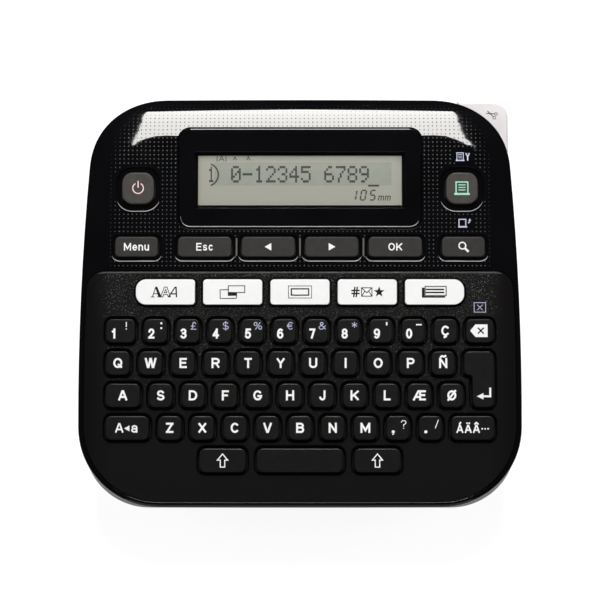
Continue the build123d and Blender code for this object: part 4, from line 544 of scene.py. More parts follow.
OVAL = [(0.5, 0.5, 0.5, 0.5, 90, 450)]
BOW_C = [(0.5, 0.5, 0.5, 0.5, 48, 312)]
LEGS_A = [(0, 0), (0.44, 1), (0.56, 1), (1, 0)]
BAR_A = [(0.2, 0.3), (0.8, 0.3)]
LEFT = [(0, 0), (0, 1)]
RIGHT = [(1, 0), (1, 1)]
FALL_N = [(0.06, 0.95), (0.94, 0.05)]
HEAD_P = [(0, 0), (0, 1), (0.58, 1), (0.58, 0.73, 0.42, 0.27, 90, -90), (0, 0.46)]
BENDS_S = [(0.5, 0.745, 0.45, 0.255, 28, 270), (0.5, 0.245, 0.5, 0.245, 90, -152)]
LETTERS = {
    "A": (1.0, LEGS_A, BAR_A),
    "B": (0.9, [(0, 0.53), (0, 1), (0.55, 1), (0.55, 0.765, 0.38, 0.235, 90, -90), (0, 0.53)],
          [(0, 0.53), (0.6, 0.53), (0.6, 0.265, 0.4, 0.265, 90, -90), (0, 0), (0, 0.53)]),
    "C": (0.95, BOW_C),
    "D": (0.95, [(0, 0), (0, 1), (0.45, 1), (0.45, 0.5, 0.55, 0.5, 90, -90), (0, 0)]),
    "E": (0.82, [(1, 1), (0, 1), (0, 0), (1, 0)], [(0, 0.52), (0.88, 0.52)]),
    "F": (0.78, [(1, 1), (0, 1), (0, 0)], [(0, 0.5), (0.8, 0.5)]),
    "G": (1.0, [(0.5, 0.5, 0.5, 0.5, 48, 335), (0.98, 0.42), (0.6, 0.42)]),
    "H": (0.92, LEFT, RIGHT, [(0, 0.52), (1, 0.52)]),
    "I": (0.0, LEFT),
    "J": (0.7, [(1, 1), (1, 0.3), (0.5, 0.3, 0.5, 0.3, 0, -165)]),
    "K": (0.95, LEFT, [(0.96, 0.97), (0, 0.3)], [(0.36, 0.56), (0.96, 0.03)]),
    "L": (0.76, [(0, 1), (0, 0), (1, 0)]),
    "M": (1.1, LEFT, RIGHT, [(0.06, 0.93), (0.5, 0.2), (0.94, 0.93)]),
    "N": (0.92, LEFT, RIGHT, FALL_N),
    "O": (1.02, OVAL),
    "P": (0.87, HEAD_P),
    "Q": (1.02, OVAL, [(0.62, 0.3), (0.97, 0.02)]),
    "R": (0.92, HEAD_P, [(0.55, 0.46), (0.95, 0.03)]),
    "S": (0.87, BENDS_S),
    "T": (0.84, [(0, 1), (1, 1)], [(0.5, 1), (0.5, 0)]),
    "U": (0.92, [(0, 1), (0, 0.33), (0.5, 0.33, 0.5, 0.33, 180, 360), (1, 1)]),
    "V": (0.95, [(0, 1), (0.44, 0), (0.56, 0), (1, 1)]),
    "W": (1.3, [(0, 1), (0.21, 0), (0.29, 0), (0.465, 1), (0.535, 1), (0.71, 0), (0.79, 0), (1, 1)]),
    "X": (0.93, [(0.04, 0.97), (0.96, 0.03)], [(0.04, 0.03), (0.96, 0.97)]),
    "Y": (0.93, [(0.03, 0.97), (0.5, 0.45), (0.97, 0.97)], [(0.5, 0.45), (0.5, 0)]),
    "Z": (0.84, [(0, 1), (1, 1)], [(0, 0), (1, 0)], [(0.93, 0.97), (0.07, 0.03)]),
    "Æ": (1.45, [(0, 0), (0.4, 1), (1, 1)], [(0.56, 1), (0.56, 0), (1, 0)], [(0.56, 0.53), (0.93, 0.53)],
          [(0.2, 0.3), (0.56, 0.3)]),
    "Ø": (1.02, OVAL, [(0.02, -0.04), (0.98, 1.04)]),
    "Ç": (0.95, BOW_C, [(0.5, -0.08), (0.55, -0.2), (0.36, -0.28)]),
    "Ñ": (0.92, LEFT, RIGHT, FALL_N, [(0.15, 1.25), (0.32, 1.35), (0.66, 1.27), (0.85, 1.37)]),
    "Á": (1.0, LEGS_A, BAR_A, [(0.45, 1.22), (0.62, 1.42)]),
    "Ä": (1.0, LEGS_A, BAR_A, [(0.28, 1.33), (0.3, 1.33)], [(0.7, 1.33), (0.72, 1.33)]),
    "Â": (1.0, LEGS_A, BAR_A, [(0.22, 1.22), (0.5, 1.42), (0.78, 1.22)]),
    "a": (0.74, [(0.5, 0.5, 0.42, 0.24, 160, 0), (0.92, 0)], [(0.46, 0.2, 0.44, 0.2, 90, 450)]),
    "c": (0.7, [(0.5, 0.37, 0.5, 0.37, 48, 312)]),
    "e": (0.74, [(0.03, 0.38), (0.97, 0.38), (0.5, 0.37, 0.5, 0.37, 0, 312)]),
    "m": (1.1, [(0, 0), (0, 0.74)], [(0, 0.45), (0.25, 0.47, 0.25, 0.27, 180, 0), (0.5, 0)],
          [(0.5, 0.45), (0.75, 0.47, 0.25, 0.27, 180, 0), (1, 0)]),
    "n": (0.72, [(0, 0), (0, 0.74)], [(0, 0.42), (0.5, 0.44, 0.5, 0.3, 180, 0), (1, 0)]),
    "s": (0.68, [(0.5, 0.555, 0.44, 0.185, 28, 270), (0.5, 0.185, 0.48, 0.185, 90, -152)]),
    "u": (0.72, [(0, 0.74), (0, 0.3), (0.5, 0.3, 0.5, 0.3, 180, 360), (1, 0.74)], [(1, 0.3), (1, 0)]),
    "0": (0.78, OVAL),
    "1": (0.5, [(0.75, 0), (0.75, 1)], [(0.7, 0.95), (0.4, 0.79), (0, 0.74)]),
    "2": (0.76, [(0.5, 0.71, 0.48, 0.29, 172, -38), (0.06, 0.03)], [(0, 0), (1, 0)]),
    "3": (0.78, [(0.47, 0.76, 0.45, 0.24, 155, -90), (0.35, 0.52)],
          [(0.35, 0.52), (0.47, 0.26, 0.5, 0.26, 90, -155)]),
    "4": (0.8, [(0.72, 0), (0.72, 1)], [(0.68, 0.95), (0.03, 0.32)], [(0, 0.27), (1, 0.27)]),
    "5": (0.78, [(0.95, 1), (0.17, 1), (0.09, 0.5)], [(0.47, 0.32, 0.5, 0.32, 140, -155)]),
    "6": (0.78, [(0.5, 0.31, 0.5, 0.31, 90, 450)], [(0.55, 0.52, 0.54, 0.48, 55, 180), (0, 0.31)]),
    "7": (0.76, [(0, 1), (0.97, 1)], [(0.92, 0.97), (0.36, 0)]),
    "8": (0.78, [(0.5, 0.76, 0.43, 0.24, 90, 450)], [(0.5, 0.26, 0.5, 0.26, 90, 450)]),
    "9": (0.78, [(0.5, 0.69, 0.5, 0.31, 90, 450)], [(0.45, 0.48, 0.54, 0.48, 235, 360), (1, 0.69)]),
    "!": (0.0, [(0, 1), (0, 0.4)], [(0, 0), (0, 0.02)]),
    ":": (0.0, [(0, 0.1), (0, 0.12)], [(0, 0.92), (0, 0.94)]),
    "£": (0.76, [(0.64, 0.74, 0.3, 0.26, 10, 180), (0.34, 0.2), (0.05, 0), (1, 0)],
          [(0.05, 0.45), (0.75, 0.45)]),
    "$": (0.8, BENDS_S, [(0.5, -0.12), (0.5, 1.12)]),
    "%": (1.1, [(0.2, 0.76, 0.2, 0.24, 90, 450)], [(0.8, 0.24, 0.2, 0.24, 90, 450)], [(0.8, 1), (0.2, 0)]),
    "€": (0.85, [(0.58, 0.5, 0.44, 0.5, 50, 310)], [(0, 0.6), (0.75, 0.6)], [(0, 0.4), (0.7, 0.4)]),
    "&": (1.0, [(0.95, 0.03), (0.24, 0.74), (0.42, 0.81, 0.2, 0.19, 200, -20), (0.1, 0.36),
                (0.36, 0.24, 0.33, 0.24, 150, 320), (0.95, 0.5)]),
    "*": (0.8, [(0.5, 0.25), (0.5, 1)], [(0.08, 0.44), (0.92, 0.81)], [(0.08, 0.81), (0.92, 0.44)]),
    "'": (0.0, [(0, 0.7), (0, 1)]),
    "-": (0.74, [(0, 0.68), (1, 0.68)]),
    "?": (0.65, [(0.5, 0.75, 0.5, 0.25, 170, -40), (0.5, 0.44), (0.5, 0.3)], [(0.5, 0), (0.5, 0.02)]),
    "#": (0.9, [(0.25, 0), (0.4, 1)], [(0.6, 0), (0.75, 1)], [(0, 0.66), (1, 0.66)], [(0, 0.33), (1, 0.33)]),
}


def line_points(steps):
    """The points of a letter's line in its unit box."""
    points = []
    for step in steps:
        if len(step) == 2:
            points.append(Vector(step))
            continue
        x, y, radius_x, radius_y, start, end = step
        points += [Vector((x + p.x * radius_x, y + p.y * radius_y)) for p in arc(1.0, start, end, 16)]
    return points


def square_ends(points, reach):
    """Lengthens an open line at both ends."""
    first = points[0] + (points[0] - points[1]).normalized() * reach
    last = points[-1] + (points[-1] - points[-2]).normalized() * reach
    return [first, *points[1:-1], last]


def letter(sign, cap, weight, narrow):
    """A letter's polygons from its lower left corner, and its width."""
    width, *lines = LETTERS[sign]
    line_width = cap * weight
    across = max(width * cap * narrow, line_width)
    size = Vector((across - line_width, cap - line_width))
    polygons = []
    for steps in lines:
        points = [p * size + Vector((line_width, line_width)) / 2 for p in line_points(steps)]
        points = [p for i, p in enumerate(points) if i == 0 or (p - points[i - 1]).length > 1e-3]
        closed = (points[0] - points[-1]).length < 1e-3
        run = points[:-1] if closed else square_ends(points, line_width / 2)
        polygons += stroke(run, line_width, closed)
    return polygons, across


def write(body, ink, text, cap, spot, weight=BOLD, narrow=1.0, lean=0.0):
    """Letters centred on a point, by their width and by the height of a capital."""
    shapes = []
    along = 0.0
    for sign in text:
        polygons, across = letter(sign, cap, weight, narrow)
        shapes += moved(polygons, along, 0.0)
        along += across + cap * LETTER_GAP * narrow
    width = along - cap * LETTER_GAP * narrow
    draw(body, ink, leaning(moved(shapes, -width / 2, -cap / 2), lean), spot)


# Where the keys are

def joined_mesh(node):
    """A node's mesh with its faces joined along their edges."""
    bm = bmesh.new()
    bm.from_mesh(frame["nodes"][node].data)
    bmesh.ops.remove_doubles(bm, verts=bm.verts, dist=1e-6)
    return bm


def islands(node):
    """The corners of each separate solid of a node, in face coordinates."""
    bm = joined_mesh(node)
    left = set(bm.verts)
    found = []
    while left:
        queue = [left.pop()]
        solid = []
        while queue:
            vert = queue.pop()
            solid.append(FROM_FACE @ vert.co)
            near = {edge.other_vert(vert) for edge in vert.link_edges} & left
            left -= near
            queue.extend(near)
        found.append(solid)
    bm.free()
    return found


def middle_and_half(points):
    """Middle and half size of the box round some points."""
    low = Vector(map(min, *points))
    high = Vector(map(max, *points))
    return (low + high) / 2, (high - low) / 2


def key_tops(node):
    """Middle of each key's flat top in a node, from left to right."""
    middles = []
    for solid in islands(node):
        top = max(p.z for p in solid)
        middles.append(middle_and_half([p for p in solid if p.z > top - FLATNESS])[0])
    return sorted(middles, key=lambda p: p.x)


def key_top(node):
    return key_tops(node)[0]


def top_edges(node):
    """The edges of a node's flat top, one loop each with the top on its left, and the top's level."""
    bm = joined_mesh(node)
    spots = {vert: FROM_FACE @ vert.co for vert in bm.verts}
    level = max(spot.z for spot in spots.values())
    top = [face for face in bm.faces if all(spots[vert].z > level - FLATNESS for vert in face.verts)]
    among = set(top)
    follows = {}
    for face in top:
        for corner in face.loops:
            if not among.intersection(corner.edge.link_faces) - {face}:
                follows[corner.vert] = corner.link_loop_next.vert
    edges = []
    while follows:
        start, vert = follows.popitem()
        edge = [start]
        while vert in follows:
            edge.append(vert)
            vert = follows.pop(vert)
        edges.append([spots[vert].xy for vert in edge])
    bm.free()
    return edges, level


def width_of(edge):
    return max(point.x for point in edge) - min(point.x for point in edge)


# Painted shade rings and painted highlight lips

def grown(edge, step):
    """A loop moved to its left by that step."""
    around = zip(edge, edge[-1:] + edge[:-1], edge[1:] + edge[:1])
    return [side_points(point, before, after, 2 * step)[0] for point, before, after in around]


def quads_between(inner, outer):
    return [[inner[i - 1], inner[i], outer[i], outer[i - 1]] for i in range(len(inner))]


def ring_openings():
    """A dark ring of painted shade on the panel round each of its openings, where the gap's shadow falls."""
    edges, level = top_edges("keyboard_panel")
    edges.remove(max(edges, key=width_of))
    for edge in edges:
        draw("base", "well", quads_between(edge, grown(edge, RING_WIDTH)), (0.0, 0.0, level))


def draw_highlight_beside(ink, edge, level, least):
    """A painted highlight: a pale line to the left of a loop, where that side lies in front of it, with
    pointed ends.
    """
    shares = []
    tops = []
    for point, aside in zip(edge, grown(edge, 1.0)):
        across = (aside - point).normalized()
        share = HIGHLIGHT_RISE * (-across.y - least) / (1.0 - least)
        shares.append(share)
        tops.append(point + across * HIGHLIGHT_WIDTH * min(1.0, max(HIGHLIGHT_TIP, share)))
    for i, quad in enumerate(quads_between(edge, tops)):
        if max(shares[i - 1], shares[i]) > HIGHLIGHT_TIP:
            draw("base", ink, [quad], (0.0, 0.0, level))


def draw_edge_highlights():
    """Painted highlights along the lower lips of the fascia's wells and of the bezel, and along the rear
    edge of the keyboard panel.
    """
    edges, level = top_edges("upper_case")
    for edge in edges:
        if width_of(edge) < WELL_WIDEST:
            draw_highlight_beside("lip", edge, level, HIGHLIGHT_LEAST)
    edges, level = top_edges("display_bezel")
    bezel = max(edges, key=width_of)[::-1]
    draw_highlight_beside("lip", grown(bezel, -HIGHLIGHT_WIDTH), level, HIGHLIGHT_LEAST)
    # A dimmer painted highlight along the keyboard panel's rear edge.
    edges, level = top_edges("keyboard_panel")
    draw_highlight_beside("rib", max(edges, key=width_of), level, PANEL_HIGHLIGHT_LEAST)


# Signs

def power_sign():
    return stroke(arc(1.9, 120, 420), 0.42) + [box(-0.22, 0.2, 0.22, 2.6)]


def printed_label(width, height, bar, line):
    """A label standing on a bar, with lines of writing on it."""
    half = width / 2
    foot = -height / 2
    shape = outline(-half * 0.83, foot, half * 0.83, height / 2, bar * 0.62)
    shape.append(box(-half, foot, half, foot + bar))
    for i in range(3):
        level = foot + bar + (height - bar) * (0.26 + 0.22 * i)
        shape.append(box(-half * 0.45, level - line / 2, half * 0.45, level + line / 2))
    return shape


def cut_sign():
    """Open blades over a stem."""
    shape = []
    for side in (-1, 1):
        shape += stroke(points_of((side * 0.65, 1.3), (0.0, -0.1)), 0.4)
    return shape + [box(-0.22, -1.45, 0.22, 0.1)]


def scissor_blades():
    """Two crossed blades that point down."""
    shape = []
    for side in (-1, 1):
        shape += stroke(points_of((side * 0.55, 0.5), (-side * 0.5, -2.3)), THIN)
    return shape


def scissor_handles():
    shape = []
    for side in (-1, 1):
        shape += stroke(arc(0.5, 0, 345, 15, (side * 0.75, 1.05)), THIN, closed=True)
    return shape


def feed_sign():
    shape = outline(-1.5, -1.4, 1.3, 1.55, 0.36)
    shape.append(box(-1.6, -1.6, 1.6, -1.15))
    return shape


def feed_arrow_sign():
    return [points_of((-0.5, 0.3), (0.5, 0.3), (0.0, 1.1))] + stroke(arc(0.9, 0, -70, 6, (-0.9, 0.3)), 0.4)


def cross(half, width):
    return (stroke(points_of((-half, -half), (half, half)), width)
            + stroke(points_of((-half, half), (half, -half)), width))


def two_labels_sign():
    back = points_of((-1.7, 0.8), (-4.45, 0.8), (-4.45, -2.3), (1.1, -2.3), (1.4, -2.0), (1.4, -0.4))
    return stroke(back, THIN) + outline(-1.7, -0.33, 4.44, 2.36, THIN) + [box(-1.7, -1.37, 1.4, -0.3)]


def envelope_sign():
    shape = outline(-2.0, -1.65, 2.0, 1.65, THIN)
    shape += stroke(points_of((-1.8, 1.5), (0.0, -0.3), (1.8, 1.5)), THIN)
    for side in (-1, 1):
        shape += stroke(points_of((side * 1.8, -1.5), (side * 0.7, 0.3)), THIN)
    return shape


def cards_sign():
    shape = [box(-3.2, 0.64, 3.4, 1.18), box(-3.2, -0.44, 3.4, 0.1)]
    shape += [box(-4.55, -2.04, -3.6, 1.56), box(-3.6, -2.04, 3.77, -1.47)]
    return shape


def magnifier_sign():
    rim = stroke(arc(1.2, 0, 345, 23), MEDIUM, closed=True)
    return rim + stroke(points_of((0.85, -0.85), (2.2, -2.2)), 0.75)


def shift_sign():
    corners = points_of((0.0, 2.25), (1.8, 0.1), (0.78, 0.1), (0.78, -2.35),
                        (-0.78, -2.35), (-0.78, 0.1), (-1.8, 0.1))
    return stroke(corners, 0.38, closed=True)


def tag_sign():
    return [points_of((-3.1, 0.0), (-1.2, -2.25), (3.1, -2.25), (3.1, 2.25), (-1.2, 2.25))]


def period_sign():
    return [arc(0.55, 0, 345, 15)]


def comma_sign():
    tail = points_of((0.54, -0.1), (0.3, -0.75), (-0.2, -1.2), (-0.3, -1.0), (0.0, -0.4))
    return period_sign() + [tail]


def serif_letter_a(height):
    """A capital A with one heavy leg and level feet."""
    shape = [points_of((-0.1, 0.5), (0.1, 0.5), (0.5, -0.44), (0.21, -0.44))]
    shape += stroke(points_of((-0.03, 0.46), (-0.33, -0.44)), 0.08)
    shape += [box(-0.25, -0.2, 0.28, -0.12), box(-0.5, -0.5, -0.14, -0.43), box(0.1, -0.5, 0.6, -0.43)]
    return resized(shape, height)


def hollow_letter_a(height):
    corners = points_of((-0.5, -0.5), (-0.13, 0.5), (0.13, 0.5), (0.5, -0.5), (0.27, -0.5), (0.2, -0.27),
                        (-0.2, -0.27), (-0.27, -0.5))
    shape = stroke(corners, 0.08, closed=True)
    shape += stroke(points_of((-0.13, -0.08), (0.13, -0.08), (0.0, 0.27)), 0.08, closed=True)
    return resized(shape, height)


def enter_sign():
    shaft = stroke(points_of((2.1, 2.1), (2.1, -0.95), (-0.4, -0.95)), 0.7)
    return shaft + [points_of((-2.6, -0.95), (-0.3, -2.1), (-0.3, 0.2))]


# Legends

NUMBER_ROW = "1234567890"
NUMBER_SIGNS = "!:£$%€&*'-"
WHITE_SIGN_WEIGHTS = {"!": 0.14, ":": 0.23, "'": 0.2, "-": 0.17}
UPPER_ROW = "QWERTYUIOPÑ"
MIDDLE_ROW = "ASDFGHJKLÆØ"
LOWER_ROW = "ZXCVBNM"
WIDE_KEY_SHIFT = 0.9


def mark_number_row():
    node = "number_row_keys"
    keys = key_tops(node)
    for i, (key, digit, sign) in enumerate(zip(keys, NUMBER_ROW, NUMBER_SIGNS)):
        left = -1.5 - (WIDE_KEY_SHIFT if i == 0 else 0.0)
        write(node, "white", digit, LETTER_CAP, beside(key, left, -1.0), narrow=DIGIT_NARROW)
        ink = "white" if sign in WHITE_SIGN_WEIGHTS else "lavender"
        weight = WHITE_SIGN_WEIGHTS.get(sign, LIGHT)
        write(node, ink, sign, SMALL_CAP, beside(key, 2.0, 1.75), weight)
    write(node, "white", "Ç", LETTER_CAP, keys[-1], narrow=LETTER_NARROW)


def mark_letter_row(node, letters):
    for key, sign in zip(key_tops(node), letters):
        write(node, "white", sign, LETTER_CAP, key, narrow=LETTER_NARROW)


def mark_lower_row():
    node = "lower_letter_row_keys"
    mark_letter_row(node, LOWER_ROW)
    comma, period = key_tops(node)[-2:]
    draw(node, "white", comma_sign(), beside(comma, -1.7, -1.4))
    write(node, "white", "?", 3.0, beside(comma, 2.0, 1.2), LIGHT)
    draw(node, "white", period_sign(), beside(period, -1.7, -1.4))
    draw(node, "white", stroke(points_of((-0.55, -1.5), (0.55, 1.5)), THIN), beside(period, 2.2, 1.3))


def mark_side_keys():
    tag = key_top("backspace_key")
    draw("backspace_key", "white", tag_sign(), beside(tag, -0.4))
    draw("backspace_key", "black", cross(1.05, 0.5), tag + Vector((0.3, 0.0, MARK_THICKNESS / 2)))
    draw("enter_key", "white", enter_sign(), (*ENTER_AT, key_top("enter_key").z))
    caps = key_top("caps_key")
    write("caps_key", "white", "A", 3.4, beside(caps, -2.75), MIDDLING, 0.85)
    draw("caps_key", "white", [points_of((-1.0, -0.2), (0.85, -1.25), (0.85, 0.85))], caps)
    write("caps_key", "white", "a", 3.4, beside(caps, 2.65), MIDDLING, 0.95)
    accent = beside(key_top("accent_key"), 0.0, -0.35)
    write("accent_key", "white", "ÁÄÂ", 2.9, beside(accent, -1.75), 0.18, WORD_NARROW)
    for i in range(3):
        draw("accent_key", "white", [arc(0.3, 0, 345, 12)], beside(accent, 3.2 + 1.05 * i))
    for node in ("left_shift_key", "right_shift_key"):
        draw(node, "white", shift_sign(), key_top(node))


def mark_function_keys():
    style = key_top("style_key")
    draw("style_key", "black", serif_letter_a(3.8), beside(style, -3.3))
    draw("style_key", "black", hollow_letter_a(3.5), beside(style, 0.1))
    write("style_key", "black", "A", 3.8, beside(style, 3.1), 0.12, 0.85, lean=0.3)
    draw("label_key", "black", two_labels_sign(), key_top("label_key"))
    draw("frame_key", "grey", outline(-4.25, -2.3, 4.25, 2.3, THIN), key_top("frame_key"))
    draw("frame_key", "black", outline(-3.3, -1.35, 3.3, 1.35, MEDIUM), key_top("frame_key"))
    symbol = key_top("symbol_key")
    write("symbol_key", "black", "#", 3.7, beside(symbol, -4.2), PLAIN, 0.9)
    draw("symbol_key", "black", envelope_sign(), beside(symbol, -0.2))
    draw("symbol_key", "black", [star(2.0, 0.82)], beside(symbol, 4.2))
    draw("file_key", "black", cards_sign(), key_top("file_key"))
    draw("file_key", "grey", outline(-3.6, -1.47, 4.33, 2.2, MEDIUM), key_top("file_key"))


def mark_fascia_keys():
    for node, word in (("menu_key", "Menu"), ("esc_key", "Esc"), ("ok_key", "OK")):
        write(node, "white", word, WORD_CAP, key_top(node), MIDDLING, WORD_NARROW)
    for node, side in (("left_arrow_key", -1), ("right_arrow_key", 1)):
        arrow = points_of((side * 1.3, 0.0), (-side * 1.1, 1.35), (-side * 1.1, -1.35))
        draw(node, "white", [arrow], key_top(node))
    draw("search_key", "white", magnifier_sign(), beside(key_top("search_key"), -0.4, 0.4))
    draw("power_button", "pink", power_sign(), key_top("power_button"))
    draw("print_button", "mint", printed_label(5.58, 4.9, 0.72, 0.36), key_top("print_button"))


def mark_fascia():
    """Signs on the fascia and the panel, painted highlights on the ribs between the middle keys, and
    scissors on the lever.
    """
    draw("base", "lavender", printed_label(3.1, 3.1, 0.48, 0.2), (*CUT_LABEL_AT, 0.0))
    draw("base", "lavender", cut_sign(), (*CUT_BLADES_AT, 0.0))
    draw("base", "lavender", feed_sign(), (*FEED_LABEL_AT, 0.0))
    draw("base", "lavender", feed_arrow_sign(), (*FEED_ARROW_AT, 0.0))
    boxed_cross = outline(-2.15, -1.8, 2.15, 1.8, HAIR) + cross(0.95, HAIR)
    draw("base", "lavender", boxed_cross, (*BOXED_CROSS_AT, key_top("keyboard_panel").z))
    # Painted highlights on the ribs between the middle keys.
    keys = [key_top(node) for node in NAV_NODES[1:5]]
    for left, right in zip(keys, keys[1:]):
        spot = ((left.x + right.x) / 2, left.y, MARK_THICKNESS)
        draw("base", "rib", [box(-0.3, -3.2, 0.3, 3.2)], spot)
    lever = (*SCISSORS_AT, key_top("cutter_lever").z)
    draw("cutter", "black", turned(scissor_blades(), SCISSORS_TURN), lever)
    draw("cutter", "grey", turned(scissor_handles(), SCISSORS_TURN), lever)


# Display

DIGITS = {
    "0": (" ### ", "#   #", "#  ##", "# # #", "##  #", "#   #", " ### "),
    "1": ("  #  ", " ##  ", "  #  ", "  #  ", "  #  ", "  #  ", " ### "),
    "2": (" ### ", "#   #", "    #", "   # ", "  #  ", " #   ", "#####"),
    "3": (" ### ", "#   #", "    #", "  ## ", "    #", "#   #", " ### "),
    "4": ("   # ", "  ## ", " # # ", "#  # ", "#####", "   # ", "   # "),
    "5": ("#####", "#    ", "#### ", "    #", "    #", "#   #", " ### "),
    "6": ("  ## ", " #   ", "#    ", "#### ", "#   #", "#   #", " ### "),
    "7": ("#####", "    #", "   # ", "  #  ", "  #  ", " #   ", " #   "),
    "8": (" ### ", "#   #", "#   #", " ### ", "#   #", "#   #", " ### "),
    "9": (" ### ", "#   #", "#   #", " ####", "    #", "   # ", " ##  "),
    "-": ("     ", "     ", "     ", "#####", "     ", "     ", "     "),
}
SEGMENTS = {"1": "bc", "0": "abcdef", "5": "acdfg"}


def character(pattern, width, height):
    """Small squares of a dot matrix character, from its lower left corner."""
    across = width / 5
    down = height / 7
    squares = []
    for row, line in enumerate(reversed(pattern)):
        for column, cell in enumerate(line):
            if cell == "#":
                x = column * across
                y = row * down
                squares.append(box(x, y, x + across * CHARACTER_FILL, y + down * CHARACTER_FILL))
    return squares


def segment_digit(digit):
    """A leaning seven segment digit, from its lower left corner."""
    w, h = SEGMENT_WIDTH, SEGMENT_HEIGHT
    ends = {"a": ((0, h), (w, h)), "b": ((w, h), (w, h / 2)), "c": ((w, h / 2), (w, 0)),
            "d": ((0, 0), (w, 0)), "e": ((0, 0), (0, h / 2)), "f": ((0, h / 2), (0, h)),
            "g": ((0, h / 2), (w, h / 2))}
    shape = []
    for name in SEGMENTS[digit]:
        start, end = (Vector((x + SEGMENT_SLANT * y, y)) for x, y in ends[name])
        trim = (end - start).normalized() * SEGMENT_STROKE * 0.35
        shape += stroke([start + trim, end - trim], SEGMENT_STROKE)
    return shape


def mark_display():
    """A line of characters with its number before it, a length below and small signs above."""
    glass = key_top("lcd_module").z
    level = glass + MARK_THICKNESS / 4
    zero = (0.0, 0.0, level)
    draw("base", "cells", [box(*IDLE_CELLS)], (0.0, 0.0, glass))
    for i, sign in enumerate("0-12345 6789"):
        shape = character(DIGITS.get(sign, ()), CHARACTER_WIDTH, CHARACTER_HEIGHT)
        x = CHARACTER_START_X + i * CHARACTER_PITCH
        draw("base", "crystal", shape, (x, CHARACTER_LINE_S, level))
    draw("base", "crystal", [box(*CURSOR)], zero)
    draw("base", "crystal", character(DIGITS["1"], 2.6, 5.6), (-33.2, 43.8, level))
    draw("base", "crystal", stroke(arc(4.1, -70, 70), 0.55), (-33.5, 46.5, level))
    for i, digit in enumerate("105"):
        x = SEGMENT_START_X + SEGMENT_PITCH * i
        draw("base", "crystal", segment_digit(digit), (x, SEGMENT_LINE_S, level))
    write("base", "crystal", "mm", 2.36, (30.4, 38.3, level), PLAIN, 0.78, SEGMENT_SLANT)
    write("base", "crystal", "A", 1.9, (-28.25, STATUS_S, level), PLAIN)
    draw("base", "crystal", [box(*bar) for bar in STATUS_BARS], zero)
    for x in STATUS_PEAKS_X:
        peak = stroke(points_of((-0.6, -0.6), (0.0, 0.6), (0.6, -0.6)), THIN)
        draw("base", "crystal", peak, (x, STATUS_S, level))


# Raised dots

def outside_box(x, s, middle_x, middle_s, half_width, half_length, radius):
    """Distance of a point outside a rounded rectangle, below zero inside it."""
    dx = abs(x - middle_x) - half_width + radius
    ds = abs(s - middle_s) - half_length + radius
    return math.hypot(max(dx, 0.0), max(ds, 0.0)) + min(max(dx, ds), 0.0) - radius


def nav_wells():
    """The openings round the navigation keys, as rounded rectangles."""
    wells = []
    for node in NAV_NODES:
        (solid,) = islands(node)
        middle, half = middle_and_half([p for p in solid if p.z > -0.2])
        half += Vector((NAV_WELL_MARGIN, NAV_WELL_MARGIN, 0.0))
        wells.append((middle.x, middle.y, half.x, half.y, NAV_WELL_RADIUS))
    return wells


def dot_size(x, s, keep_outs):
    """How large a dot is: full on the open fascia, less near its edge, nothing in the openings."""
    if min(outside_box(x, s, *area) for area in keep_outs) < DOT_CLEARANCE:
        return 0.0
    middle_s = CASE_REAR_S - 2 * CASE_HALF_WIDTH
    inside = -outside_box(x, s, 0.0, middle_s, CASE_HALF_WIDTH, 2 * CASE_HALF_WIDTH, CASE_REAR_RADIUS)
    aside = max(0.0, abs(x) - CASE_HALF_WIDTH + CASE_REAR_RADIUS)
    margin = DOT_REAR_MARGIN + DOT_SIDE_CURVE * aside ** 2
    return max(0.0, min(1.0, DOT_LEAST + (inside - margin) / DOT_FADE))


def profile(along):
    """Turn, s and n at a distance along the fascia's profile."""
    turn = max(0.0, (along - ROLL_START_S) / ROLL_RADIUS)
    s = min(along, ROLL_START_S) + ROLL_RADIUS * math.sin(turn)
    return turn, s, ROLL_RADIUS * (math.cos(turn) - 1)


def dome(bm, placing, size):
    """A low closed dome on the fascia."""
    angles = [2 * math.pi * i / DOT_SIDES for i in range(DOT_SIDES)]
    radius = DOT_RADIUS * size
    rings = []
    for reach, height in ((1.0, -DOT_SINK), (0.62, DOT_HEIGHT * size * 0.68)):
        ring = [Vector((radius * reach * math.cos(a), radius * reach * math.sin(a), height)) for a in angles]
        rings.append([bm.verts.new(placing @ point) for point in ring])
    top = bm.verts.new(placing @ Vector((0.0, 0.0, DOT_HEIGHT * size)))
    low, high = rings
    bm.faces.new(low[::-1])
    for i in range(DOT_SIDES):
        j = (i + 1) % DOT_SIDES
        bm.faces.new((low[i], low[j], high[j], high[i])).smooth = True
        bm.faces.new((high[i], high[j], top)).smooth = True


def fascia_dots():
    bm = bmesh.new()
    keep_outs = [*KEEP_OUTS, *nav_wells()]
    columns = int(CASE_HALF_WIDTH / DOT_PITCH)
    roll_end = ROLL_START_S + ROLL_RADIUS * math.asin((CASE_REAR_S - ROLL_START_S) / ROLL_RADIUS)
    rows = int((roll_end - DOT_REAR_MARGIN - DOT_FRONT_S) / DOT_PITCH)
    for row in range(rows + 1):
        turn, s, n = profile(DOT_FRONT_S + row * DOT_PITCH)
        for column in range(-columns, columns + 1):
            x = column * DOT_PITCH
            size = dot_size(x, s, keep_outs)
            if size > DOT_LEAST:
                placing = FACE @ Matrix.Translation((x, s, n)) @ Matrix.Rotation(-turn, 4, "X")
                dome(bm, placing, size)
    piece = new_object("fascia_dots", bm, DOT_BLACK)
    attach(piece, "base")


# Stage

def facing(eye, target):
    """A placing at eye whose -Z looks at target and whose X is level."""
    back = (eye - target).normalized()
    right = Vector((0.0, 1.0, 0.0)) if abs(back.x) > 0.9 else Vector((1.0, 0.0, 0.0))
    right = (right - back * right.dot(back)).normalized()
    up = back.cross(right)
    return Matrix.Translation(eye) @ Matrix((right, up, back)).transposed().to_4x4()


